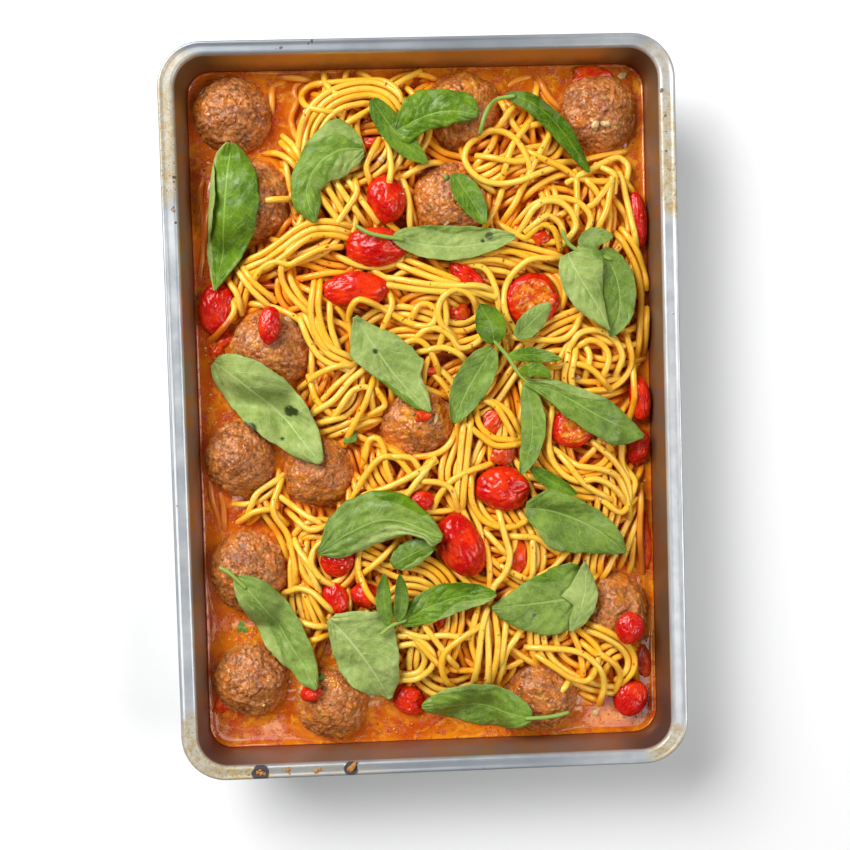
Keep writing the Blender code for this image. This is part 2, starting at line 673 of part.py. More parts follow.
def build_basil(entry, relief):
    name, blades, stems = entry
    sheet = relief.cover()
    pieces = []
    laid = []
    for spec in blades:
        rolled = spec["roll_left"] or spec["roll_right"]
        columns = [-v for v in ROLLED_COLUMNS] if rolled else LEAF_COLUMNS
        length = math.dist(spec["path"][0], spec["path"][-1])
        steps = SHORT_LEAF_STEPS if length < SHORT_LEAF else LEAF_STEPS
        grid = blade_grid(spec, relief, sheet, steps, sorted(columns))
        points, faces = blade_solid(grid, LEAF_THICK)
        pieces.append(add_object(name, points, faces, "basil_leaf"))
        fine = blade_grid(spec, relief, sheet, 70, np.linspace(-1, 1, 41))
        laid.append(fine.reshape(-1, 3) + (0, 0, LEAF_THICK))
    for stem in stems:
        path = smooth_path(stem, 6)
        heights = relief.sample(sheet, path[:, 0], path[:, 1]) + LEAF_CLEAR + STEM_RADIUS * 0.8
        spine = np.column_stack((path, heights))
        points, faces = tube(spine, STEM_RADIUS, 5)
        pieces.append(add_object(name + "_stem", points, faces, "basil_leaf"))
        dense = smooth_path(spine, 60)
        laid.append(dense + (0, 0, STEM_RADIUS))
    if len(pieces) > 1:
        combine(pieces[0], pieces[1:], "UNION")
    for points in laid:
        relief.add_points(points)
    return pieces[0]


def build_tomato(entry, relief):
    name, centre_x, centre_y, half_long, half_wide, degrees, half_high, dish = entry
    turn = math.radians(degrees)
    cos_turn = math.cos(turn)
    sin_turn = math.sin(turn)
    local_x = (relief.x - centre_x) * cos_turn + (relief.y - centre_y) * sin_turn
    local_y = (relief.y - centre_y) * cos_turn - (relief.x - centre_x) * sin_turn
    share = (local_x / (half_long + 0.3)) ** 2 + (local_y / (half_wide + 0.3)) ** 2
    footprint = share < 1
    middle_z = relief.z[footprint].max() + GAP + 0.5
    wide = np.max([np.roll(np.roll(relief.z, a, 0), b, 1) for a in (-2, 0, 2) for b in (-2, 0, 2)], axis=0)
    seed = len(name) + centre_x

    def place(x, y, z):
        factor = lump(seed, x, y, z, 0.12)
        px = centre_x + (half_long * x * cos_turn - half_wide * y * sin_turn) * factor
        py = centre_y + (half_long * x * sin_turn + half_wide * y * cos_turn) * factor
        if z >= 0:
            radius = math.hypot(x, y)
            hollow = dish * max(0.0, 1 - (radius / 0.8) ** 2)
            return px, py, middle_z + half_high * z * factor * (1 - hollow)
        floor = float(relief.sample(wide, px, py)) + GAP + 0.3
        return px, py, max(middle_z + TOMATO_SKIRT * z, min(floor, middle_z - 0.2))

    rows = [[place(*point) for point in row] for row in ball_rings(TOMATO_ROUND, TOMATO_RINGS)]
    points, faces = skin_ball(rows, place(0, 0, 1), place(0, 0, -1))
    tomato = add_object(name, points, faces, "tomato_skin")
    relief.raise_to(middle_z + half_high * np.sqrt(np.clip(1 - share, 0, 1)), footprint)
    return tomato, footprint


def build_core():
    """Bare heap: a height field inside the outline, with room for the meatballs."""
    step = 11.0
    xs = np.arange(-99.0, 110.1, step)
    ys = np.arange(-143.0, 165.1, step)
    grid_x, grid_y = np.meshgrid(xs, ys)
    tops = heap_height(grid_x, grid_y)
    cols = len(xs)
    rows = len(ys)
    points = [(grid_x[r, c], grid_y[r, c], float(tops[r, c])) for r in range(rows) for c in range(cols)]
    under = len(points)
    points += [(x, y, HEAP_FOOT - 3.0) for x, y, _ in points]
    faces = []
    for r in range(rows - 1):
        for c in range(cols - 1):
            a = r * cols + c
            faces += [(a, a + 1, a + cols + 1), (a, a + cols + 1, a + cols)]
    border = list(range(cols)) + [r * cols + cols - 1 for r in range(1, rows)]
    border += [(rows - 1) * cols + c for c in range(cols - 2, -1, -1)]
    border += [r * cols for r in range(rows - 2, 0, -1)]
    for index, here in enumerate(border):
        nxt = border[(index + 1) % len(border)]
        faces.append((here, nxt, nxt + under, here + under))
    faces.append(tuple(here + under for here in border))
    used = sorted({index for face in faces for index in face})
    renumber = {old: new for new, old in enumerate(used)}
    points = [points[old] for old in used]
    faces = [tuple(renumber[index] for index in face) for face in faces]
    core = add_object("spaghetti", points, faces, "spaghetti_strands")
    rings = [[(x, y, z) for x, y in HEAP_OUTLINE] for z in (HEAP_FOOT, HEAP_FOOT + 30.0)]
    plan = add_object("plan", *loft(rings), "spaghetti_strands")
    combine(core, [plan], "INTERSECT")
    combine(core, [well(ball, HEAP_FOOT - 8.0, 60.0) for ball in MEATBALLS], "DIFFERENCE")
    return core


def near_meatball(x, y, room):
    for centre_x, centre_y, half_x, half_y in MEATBALLS:
        if ((x - centre_x) / (half_x + room)) ** 2 + ((y - centre_y) / (half_y + room)) ** 2 < 1:
            return True
    return False


def strand_runs(path, relief, blocked):
    """Parts of a strand's path that lie clear of toppings and inside the heap."""
    clear = []
    for x, y in path:
        taken = relief.sample(blocked, x, y) > 0.01 or near_meatball(x, y, NOODLE_RADIUS + 0.6)
        clear.append(not taken and outline_depth(x, y) > 3.5)
    runs = []
    run = []
    for point, is_clear in zip(path, clear):
        if is_clear:
            run.append(point)
        else:
            runs.append(run)
            run = []
    runs.append(run)
    return [run for run in runs if len(run) >= 4]


def build_noodles(relief, blocked):
    """Arcs of strands round the nests, each half sunk in the core or on a lower strand."""
    rng = np.random.default_rng(NOODLE_SEED)
    pieces = []
    for centre_x, centre_y, first, last, count, start, sweep in NESTS:
        for index in range(count):
            share = index / max(1, count - 1)
            radius = first + (last - first) * share
            squash = rng.uniform(0.86, 1.0)
            begin = math.radians(start + rng.uniform(-18, 18))
            steps = max(6, int(sweep / NOODLE_STEP_DEG))
            angles = [begin + math.radians(sweep) * step / steps for step in range(steps + 1)]
            drift = rng.uniform(-1.5, 1.5)
            path = [(centre_x + radius * math.cos(a) + drift * (a - begin),
                     centre_y + radius * squash * math.sin(a)) for a in angles]
            height = 0.9 if index % 2 == 0 else 1.5
            for run in strand_runs(path, relief, blocked):
                spine = [(x, y, float(heap_height(x, y)) + height) for x, y in run]
                points, faces = tube(np.array(spine), NOODLE_RADIUS, NOODLE_SIDES)
                pieces.append(add_object("noodle", points, faces, "spaghetti_strands"))
    return pieces


def main():
    clear_scene()
    build_tray()
    build_sauce()
    relief = Relief()
    relief.raise_to(heap_height(relief.x, relief.y), outline_depth(relief.x, relief.y) > 0)
    for number, ball in enumerate(MEATBALLS, start=1):
        build_meatball(number, ball)
        relief.add_ball(ball[0], ball[1], meatball_centre_z(), ball[2], ball[3], MEATBALL_HALF_Z)
    blocked = np.zeros_like(relief.z)
    for entry in TOMATOES:
        footprint = build_tomato(entry, relief)[1]
        blocked = np.where(footprint, 1.0, blocked)
    blocked = np.max([np.roll(np.roll(blocked, a, 0), b, 1) for a in (-2, 0, 2) for b in (-2, 0, 2)], axis=0)
    core = build_core()
    combine(core, build_noodles(relief, blocked), "UNION")
    strands_top = heap_height(relief.x, relief.y) + NOODLE_LAYER
    relief.raise_to(strands_top, outline_depth(relief.x, relief.y) > 0)
    for entry in BASIL:
        build_basil(entry, relief)


main()
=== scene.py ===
"""Finished look of the spaghetti and meatballs in their roasting tray.

All layout numbers are millimetres: +X to the right of the photo, +Y to its top, +Z up.
The food is laid in the order a cook would: sauce, meatballs, tomatoes, strands, basil.
"""
import math

import bmesh
import bpy
import numpy as np
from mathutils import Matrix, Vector, noise

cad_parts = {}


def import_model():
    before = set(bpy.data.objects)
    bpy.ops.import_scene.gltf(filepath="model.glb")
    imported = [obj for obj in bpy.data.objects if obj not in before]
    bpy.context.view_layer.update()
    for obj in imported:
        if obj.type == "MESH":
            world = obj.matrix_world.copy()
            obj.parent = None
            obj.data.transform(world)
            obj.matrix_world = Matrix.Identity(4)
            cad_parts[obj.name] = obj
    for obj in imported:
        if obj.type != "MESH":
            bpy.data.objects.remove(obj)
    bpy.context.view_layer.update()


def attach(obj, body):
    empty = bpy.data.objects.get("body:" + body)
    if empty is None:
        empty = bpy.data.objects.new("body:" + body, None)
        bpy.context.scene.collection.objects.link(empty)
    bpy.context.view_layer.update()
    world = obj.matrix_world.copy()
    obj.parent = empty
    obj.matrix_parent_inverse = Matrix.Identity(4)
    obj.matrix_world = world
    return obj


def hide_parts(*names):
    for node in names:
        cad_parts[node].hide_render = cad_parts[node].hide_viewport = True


MM = 0.001
GAP = 0.3  # between one piece and the next
FAR = 1e3  # a height beyond anything in the tray

# Tray
RIM_HALF_X = 115.0
RIM_HALF_Y = 165.0
RIM_CORNER = 20.0
RIM_TOP = 45.0
FLANGE_TOP = 44.4
LIP_BOTTOM = 40.9
OPENING_HALF_X = 108.0
OPENING_HALF_Y = 159.0
OPENING_CORNER = 14.0
WALL_SLOPE = math.tan(math.radians(9.0))
SHEET = 1.2
CORNER_STEPS = 14
SIDE_STEPS_X = 46
SIDE_STEPS_Y = 66
BEAD_OUTER = 5  # first ring of the rim's rolled edge that faces outward

# Sauce and heap
SAUCE_TOP = 24.0
SAUCE_RINGS = 74
HEAP_EDGE = 26.0
HEAP_RISE = 4.6
HEAP_SHOULDER = 15.0
NOODLE_LAYER = 5.0

# Relief map on which the tomatoes and leaves lie
CELL = 1.0
MAP_HALF_X = 112.0
MAP_HALF_Y = 162.0
DRAPE_REACH = 5
LEAF_THICK = 0.8
LEAF_CLEAR = 0.7
LEAF_SHOWN = 0.5
STEM_RADIUS = 1.1
STEM_STEPS = 24
BLADE_ENDS = (0.012, 0.988)  # shares of a blade's length at which its skin begins and ends
# Points along and across a blade, and along a stem, that raise the map for what comes later
LAID_STEPS = 70
LAID_COLUMNS = 41
LAID_STEM_STEPS = 60

# Strands
NOODLE_RADIUS = 1.5
NOODLE_SIDES = 9
NOODLE_STEP = 1.8
FINE_CELL = 0.5
FILL_CELLS = 6  # hidden strands start on every sixth cell
GUIDE_STEPS = 60
STRAND_PITCH = 3.15  # distance between strands that run side by side
REST_OFFSETS = np.linspace(-1.35, 1.35, 7)  # where a strand feels for what lies below it
STAMP_OFFSETS = np.linspace(-1.4, 1.4, 9)  # where it raises the bed
BRIDGE_REACH = 3  # steps over which it spans a hollow
STRAND_SINK = 0.35  # how far it may press into what it rests on
# Soaked core under the strands: depth, every sixth row of the map, half width and length
CORE_DROP = 6.5
CORE_STEP = 6
CORE_HALF_X = 100.5
CORE_HALF_Y = 151.0
SHORE_SLOPE = 0.9  # how fast the strands dive into the sauce outside the heap
SHORE_DROP = 3.0
SHOWN_CAP = 4.2
TUCK_LENGTH = 8.0
TUCK_DROP = 3.6
CUT_END_REACH = 4.0
CUT_ENDS = ((-71, 52), (30, 51), (-14, 145), (43, 135), (88, 99), (-38, 87), (45, -149), (-26, 22), (84, 88))
FILL_SEED = 23
# Fill layers: tries, highest middle from the heap's height, bulge allowed, shortest run, strand lengths
FILL_LAYERS = (
    (480, -2.2, 1.6, 14, (40.0, 110.0)),
    (700, 0.5, 2.0, 26, (60.0, 160.0)),
)
# Open sauce at the heap's edge, without hidden strands: centre x, centre y, radius
OPEN_SAUCE = ((-61, 140, 12), (-62, 126, 8), (-52, 148, 5), (46, 146, 9))
PHOTO_PLANE = 38.0
STRAND_PLANE = 33.0

# Flecks: lean in radians, and size and height of the bumps that make them uneven
FLECK_TILT = 0.3
FLECK_BUMP_SIZE = 1.3
FLECK_BUMP_HEIGHT = 0.9
FLECK_TRIES = 40
FLECK_MARGIN = 6

# Camera, fitted to the tray's rim in the photo
CAMERA_PLACE = (-0.0214, 0.0171, 0.6096)
CAMERA_TURN = (-2.402, -2.115, -1.655)
CAMERA_LENS = 53.46

# Meatballs: centre x, centre y, half width x, half width y
MEATBALL_BASE = SHEET + GAP
MEATBALL_HALF_Z = 18.4
MEATBALL_WIDEN = 1.03  # makes up for what the lumps take off the measured width
MEATBALLS = (
    (-84.3, 136.0, 19.2, 18.7),
    (-76.4, 97.4, 19.5, 19.4),
    (20.9, 135.3, 19.2, 19.2),
    (15.1, 94.2, 20.2, 20.0),
    (83.4, 133.4, 19.2, 19.2),
    (-70.0, 29.3, 20.4, 20.2),
    (-86.2, -21.2, 17.2, 18.9),
    (-50.3, -27.9, 18.2, 18.3),
    (-4.1, -6.7, 18.8, 18.8),
    (-84.2, -73.3, 19.0, 20.2),
    (-84.8, -123.6, 18.5, 18.7),
    (-48.0, -135.6, 18.7, 18.7),
    (84.2, -97.3, 19.0, 19.2),
    (50.2, -136.0, 18.0, 18.0),
)

# Ground plan of the heap above the sauce
HEAP_OUTLINE = (
    (-66, 143), (-56, 150), (-40, 153.5), (-26, 154.5), (-12, 151.5), (2, 152), (38, 150),
    (52, 146), (62, 132), (78, 113), (94, 114), (100, 100), (100, 72), (103.4, 62),
    (103.4, 22), (99, 13), (94, 12), (92, -12), (92, -31), (98, -36), (98, -46), (95, -60),
    (93, -74), (96, -92), (95, -126), (86, -136), (64, -139), (50, -136), (32, -131),
    (14, -131), (0, -136), (-5, -126), (-20, -126), (-34, -118), (-50, -114), (-60, -108),
    (-64, -94), (-70, -72), (-67, -52), (-86, -50), (-89, -43), (-82, -37), (-60, -28),
    (-48, -24), (-50, -8), (-56, 4), (-58, 14), (-66, 28), (-74, 44), (-85, 46), (-86, 60),
    (-80, 68), (-74, 78), (-70, 92), (-68, 112), (-60, 124),
)

# Rounded rises of the heap: centre x, centre y, height, spread
HEAP_RISES = (
    (-30, 138, 3.0, 18), (42, 108, 3.6, 20), (60, 84, 3.4, 18), (-45, 62, 3.0, 18),
    (8, 48, 3.4, 18), (76, 20, 4.2, 20), (74, -30, 3.6, 20), (-38, 14, 2.6, 14),
    (18, -108, 4.0, 20), (-46, -72, 2.4, 18), (38, -64, 3.0, 18), (70, -112, 2.2, 16),
    (-10, -30, 2.6, 16),
)

# Swirls that steer the hidden strands: centre x, centre y, reach, turning sense
SWIRLS = (
    (-26, 122, 26, 1), (34, 108, 20, 1), (58, 82, 20, -1), (-48, 60, 24, 1), (12, 44, 18, 1),
    (77, 20, 20, -1), (76, -22, 24, 1), (-34, 8, 18, 1), (14, -114, 20, 1), (-14, -114, 14, -1),
    (-46, -66, 20, 1), (66, -118, 22, -1), (-14, -34, 16, 1), (34, -60, 20, -1),
)

# Tomatoes: name, centre x, y, half length, half width, turn, half height, dish depth share
TOMATOES = (
    ("tomato_01", -15.5, 95.5, 12.0, 9.5, 100, 8.0, 0.0),
    ("tomato_02", -21.0, 73.8, 14.6, 9.8, 0, 7.0, 0.0),
    ("tomato_03", -30.6, 54.8, 16.2, 8.8, 0, 6.0, 0.0),
    ("tomato_04", -94.8, 48.5, 13.2, 8.8, 82, 7.0, 0.0),
    ("tomato_05", 100.0, 84.0, 14.2, 4.8, 94, 5.0, 0.0),
    ("tomato_06", 50.0, 48.5, 13.5, 12.5, 20, 6.0, 0.5),
    ("tomato_07", 20.5, 59.0, 10.5, 5.0, -40, 4.5, 0.0),
    ("tomato_08", 67.5, -10.5, 11.0, 10.0, 30, 6.0, 0.45),
    ("tomato_09", 99.6, 1.4, 11.6, 5.4, 96, 7.0, 0.0),
    ("tomato_10", 98.6, -21.5, 9.0, 6.0, 80, 7.5, 0.0),
    ("tomato_11", 34.0, -38.0, 13.5, 11.0, -8, 8.0, 0.0),
    ("tomato_12", 14.0, -63.5, 16.0, 11.5, -62, 8.5, 0.0),
    ("tomato_13", -42.8, -69.0, 8.2, 7.4, 0, 5.0, 0.0),
    ("tomato_14", -44.0, -86.6, 9.0, 6.2, 105, 5.0, 0.0),
    ("tomato_15", -30.2, -85.4, 7.8, 6.2, -25, 5.5, 0.0),
    ("tomato_16", -11.8, -136.5, 8.6, 7.2, -35, 5.0, 0.0),
    ("tomato_17", 90.3, -103.5, 8.0, 6.8, 80, 4.5, 0.0),
    ("tomato_18", 92.5, -139.5, 9.5, 8.0, 60, 4.0, 0.0),
    ("tomato_19", -69.6, 39.5, 9.2, 5.2, 85, 4.5, 0.0),
    ("tomato_20", -3.6, -42.5, 6.5, 5.0, 0, 4.0, 0.0),
    ("tomato_21", -56.4, -128.6, 5.4, 4.0, 15, 3.0, 0.0),
)
TOMATO_SKIRT = 7.0
# Outermost millimetres of tomatoes and meatballs that strands may run through
TOMATO_EDGE = 1.8
BALL_EDGE = 1.5


# How a blade widens from its base: the power, and the profile's greatest value
BLUNT_BASE = (0.55, 0.4255)
TAPERED_BASE = (1.1, 0.295)


def leaf(path, left, right, **shape):
    """One leaf blade: midrib path from base to tip, its two greatest half widths and its look."""
    spec = {"path": path, "left": left, "right": right, "lift": 0.0, "cup": 0.0, "crown": 0.0,
            "tip_up": 0.0, "seat": 0.0, "roll_left": None, "roll_right": None,
            "pale": 0.5, "pucker": 0.5, "dark": 0.0, "keel": 0.0, "ribs": 0.0, "turned": (), "edge": (),
            "form": BLUNT_BASE}
    spec.update(shape)
    return spec


# Basil in the order it was laid: name, blades, stems
BASIL = (
    ("basil_dark_curl", (leaf(((-18, -71), (-8, -66), (2, -61)), 6.5, 6.0, crown=1.5, dark=0.5, pale=0.1,
                              turned=((-1, 0.55, 0.1, 0.9, 0.6),)),), ()),
    ("basil_ribbed", (leaf(((-51, -64), (-36, -55), (-18, -50), (5, -58)), 13.0, 10.5, crown=2.5,
                           pale=0.35, pucker=0.7, ribs=0.3,
                           turned=((-1, 0.30, 0.15, 1.15, 0.95), (1, 0.55, 0.50, 0.85, 0.0)),
                           edge=((0.0, 0.5, 0.5), (0.1, 5.0, 7.0), (0.2, 10.5, 9.5), (0.35, 14.0, 10.5),
                                 (0.5, 14.0, 10.0), (0.62, 13.5, 9.0), (0.75, 10.0, 5.0), (0.88, 6.5, 3.5),
                                 (0.94, 4.0, 7.0), (1.0, 0.3, 0.3))),), ()),
    ("basil_cluster", (
        leaf(((82, 70), (88, 57), (89, 43), (84, 30)), 8.0, 8.0, cup=1.0, dark=0.25, pale=0.35, keel=0.8),
        leaf(((71, 71), (77, 75), (86.5, 75.5)), 4.5, 4.5, seat=0.6, lift=0.8, cup=0.6, pale=0.5),
        leaf(((65.5, 68), (70, 58), (77, 46), (83, 33)), 12.5, 10.0, seat=1.2, lift=2.2, crown=1.5, pale=0.75,
             pucker=0.8, turned=((1, 0.75, -0.3, 0.35, 0.35),),
             edge=((0.0, 8.0, 3.0), (0.08, 14.0, 6.0), (0.25, 14.5, 8.5), (0.45, 9.5, 9.5), (0.6, 5.5, 9.0),
                   (0.75, 3.0, 6.5), (1.0, 0.3, 0.3))),
    ), (((63, 79), (65.5, 73), (71, 69), (78, 67.5), (86, 65)),)),
    ("basil_rolled", (leaf(((46.5, -28.5), (56, -35), (67, -41)), 3.6, 3.6, cup=1.6, pale=0.1),), ()),
    ("basil_broad", (leaf(((43.5, -46.5), (58, -49), (75, -57), (89.5, -68.5)), 10.0, 17.0, crown=1.5,
                          pale=0.3, pucker=0.6, keel=0.8, turned=((-1, 0.72, 0.1, 0.5, 0.6),),
                          edge=((0.0, 2.0, 2.0), (0.05, 5.0, 6.0), (0.18, 10.5, 13.0), (0.3, 10.0, 17.0),
                                (0.45, 9.0, 17.0), (0.6, 8.5, 14.5), (0.75, 7.0, 11.0), (0.88, 5.0, 6.5),
                                (1.0, 0.3, 0.3))),), ()),
    ("basil_folded", (
        leaf(((69, -89), (55, -90), (42, -91), (27, -91.5)), 17.0, 16.0, crown=1.5, pale=0.4, pucker=0.7,
             turned=((-1, 0.60, 0.0, 0.55, 0.1),),
             edge=((0.0, 9.0, 15.0), (0.08, 11.5, 17.5), (0.2, 14.5, 17.0), (0.3, 15.5, 16.0),
                   (0.42, 16.5, 14.0),
                   (0.57, 14.0, 11.5), (0.78, 9.5, 6.0), (0.9, 5.5, 3.0), (1.0, 0.3, 0.3))),
        leaf(((63, -104), (67, -95), (70, -85), (70, -72)), 7.0, 6.5, seat=0.45, lift=1.8, crown=1.0,
             pale=0.9,
             edge=((0.0, 0.5, 0.5), (0.15, 3.0, 4.0), (0.36, 3.5, 6.5), (0.43, 11.0, 6.5), (0.6, 8.0, 6.0),
                   (0.8, 4.5, 3.5), (1.0, 0.3, 0.3))),
    ), ()),
    ("basil_pale_low", (leaf(((-47, -94.5), (-38, -105), (-29, -118), (-20.5, -134)), 13.5, 12.0, crown=1.8,
                             pale=0.95, pucker=0.8, keel=0.7,
                             edge=((0.0, 3.0, 1.0), (0.16, 14.0, 7.0), (0.29, 20.5, 10.5), (0.42, 20.0, 12.5),
                                   (0.55, 17.5, 13.0), (0.7, 13.0, 11.5), (0.87, 8.0, 6.5),
                                   (1.0, 0.3, 0.3))),), ()),
    ("basil_sprig_low", (
        leaf(((-20, -98), (-22, -87), (-21.5, -74)), 3.8, 3.6, seat=0.7, cup=1.0, tip_up=3.0, pale=0.15),
        leaf(((-16, -96.6), (-14, -86), (-14.5, -74)), 3.4, 3.4, seat=1.5, lift=1.6, cup=1.0, tip_up=3.0,
             pale=0.2),
        leaf(((-14.5, -97.5), (-4, -92), (10, -87), (29, -85)), 8.5, 7.0, seat=0.1, cup=1.2, pale=0.05,
             pucker=0.9,
             turned=((-1, 0.35, 0.35, 1.1, 0.6),)),
    ), (((-24, -102), (-18.5, -98), (-12, -96)),)),
    ("basil_long_left", (leaf(((-88, -74), (-79, -85), (-69, -101), (-54, -125.5)), 10.5, 10.0, crown=2.0,
                              pale=0.5, pucker=0.7, turned=((-1, 0.35, 0.0, 0.75, 0.8),)),),
     (((-96, -69), (-91, -72), (-84, -79)),)),
    ("basil_bottom", (leaf(((44, -143.5), (30, -141), (12, -138), (-6, -138)), 10.0, 12.5, crown=2.0,
                           pale=0.25, pucker=0.7, keel=0.6, turned=((-1, 0.70, 0.3, 0.9, 0.6),)),),
     (((61.5, -141.5), (52, -143), (41, -143.5)),)),
    ("basil_big_left", (leaf(((-96.5, 24), (-82, 13), (-66, -2), (-48.5, -23)), 14.0, 13.5, crown=2.0,
                             pale=0.85, pucker=0.7, keel=0.7),), ()),
    ("basil_pale_centre", (leaf(((-31, 42.5), (-23, 29), (-13, 14), (1.5, -1.5)), 12.0, 12.0, crown=1.0,
                                pale=0.75, pucker=0.8,
                                turned=((-1, 0.55, 0.5, 1.1, 0.15), (1, 0.60, 0.62, 1.2, 1.0)),
                                edge=((0.0, 0.5, 0.5), (0.12, 4.0, 6.5), (0.25, 9.0, 12.0),
                                      (0.35, 12.5, 11.0),
                                      (0.5, 14.5, 7.5), (0.65, 15.0, 5.5), (0.72, 9.5, 5.5), (0.88, 5.5, 4.0),
                                      (1.0, 0.3, 0.3))),), ()),
    ("basil_sprig_centre", (
        leaf(((31, 26.5), (24, 16), (18, 6), (12, -7)), 8.5, 8.5, cup=1.6, pale=0.3),
        leaf(((45.5, 10), (48, -5), (47, -18), (41.5, -31)), 6.0, 5.5, cup=1.0, pale=0.3),
        leaf(((45, 11), (60, 5), (78, -6), (99, -15.5)), 10.5, 10.0, seat=1.1, lift=1.8, crown=1.6, pale=0.3,
             pucker=0.6, keel=0.8, turned=((1, 0.35, 0.0, 0.6, 0.7),),
             edge=((0.0, 1.5, 1.5), (0.2, 5.0, 4.5), (0.35, 6.5, 7.5), (0.55, 9.0, 8.5), (0.65, 9.0, 9.0),
                   (0.8, 6.0, 9.5), (0.9, 3.5, 6.5), (1.0, 0.3, 0.3))),
        leaf(((37.5, 22.5), (48, 23), (61, 20.5)), 3.4, 3.4, seat=0.6, lift=2.0, tip_up=2.0, pale=0.05),
        leaf(((42.5, 15), (50, 16), (56, 12.5)), 3.6, 3.2, seat=1.4, lift=4.0, pale=0.05),
        leaf(((31.5, 28.5), (30, 37), (25, 46)), 7.5, 7.0, seat=1.1, lift=1.0, cup=1.0, tip_up=2.0,
             pale=0.05),
    ), (((31, 30), (37, 23), (42, 15), (47, 9.5)),)),
    ("basil_small_right", (leaf(((41, 31), (49, 38), (57, 46)), 5.5, 5.5, crown=0.8, pale=0.6),), ()),
    ("basil_long_centre", (leaf(((-13, 77), (2, 73.5), (18, 72.5), (42, 76)), 10.0, 6.2, cup=1.2, pale=0.8,
                                pucker=0.6, turned=((1, 0.70, 0.2, 0.8, 0.4),)),),
     (((-30, 83), (-22, 78.7), (-8, 76)),)),
    ("basil_short_bright", (leaf(((15, 105), (21, 96), (25, 89), (28, 82)), 6.0, 6.2, cup=1.5, pale=0.1),),
     ()),
    ("basil_pair", (
        leaf(((-20.5, 139), (-14, 129), (-6, 119), (3.5, 110.5)), 6.2, 6.2, cup=0.6, pale=0.1, dark=0.1),
        leaf(((-10, 125), (5, 131), (16, 132), (26.5, 130)), 10.0, 8.5, seat=0.45, lift=2.4, crown=1.5,
             pale=0.05, pucker=1.0, keel=0.6,
             edge=((0.0, 2.0, 4.0), (0.08, 6.0, 7.5), (0.25, 11.0, 6.5), (0.4, 12.5, 6.0), (0.6, 10.5, 6.5),
                   (0.85, 9.0, 4.0), (0.94, 6.5, 2.0), (1.0, 0.8, 0.5))),
    ), ()),
    ("basil_bent",
     (leaf(((-25, 117.5), (-36, 116.5), (-46, 110), (-51, 99), (-48, 85)), 11.5, 14.5, crown=2.0,
                         pale=0.2, pucker=1.0,
                         turned=((1, 0.05, -0.6, 0.52, 0.75), (-1, 0.30, -0.5, 0.42, 0.6),
                                 (1, 0.80, 0.0, 0.45, 0.95)),
                         edge=((0.0, 2.0, 2.0), (0.06, 7.0, 7.0), (0.18, 11.0, 14.5), (0.35, 11.5, 12.0),
                               (0.5, 9.0, 9.0), (0.65, 6.5, 8.0), (0.85, 5.5, 6.5), (1.0, 0.4, 0.4))),), ()),
    ("basil_tall_left", (leaf(((-94.5, 56), (-89.5, 80), (-87, 100), (-84.5, 121.5)), 12.5, 15.5, crown=1.0,
                              roll_left=(5.5, 1.7, 150.0), pale=0.08, pucker=0.9, form=TAPERED_BASE,
                              turned=((1, 0.62, -0.4, 1.4, 0.85),)),), ()),
    ("basil_arched", (leaf(((40, 140.3), (50, 137), (60, 129), (69, 117), (76.5, 104.5)), 5.2, 5.2, crown=0.8,
                           pale=0.0, dark=0.7),),
     (((27, 121.5), (29.5, 130), (35, 137.5), (44, 139.5)),)),
)
LEAF_STEPS = 84
SHORT_LEAF_STEPS = 40
SHORT_LEAF = 30.0
LEAF_COLUMNS = 41
SIDE_VEINS = 6.6
VEIN_SWEEP = 2.1

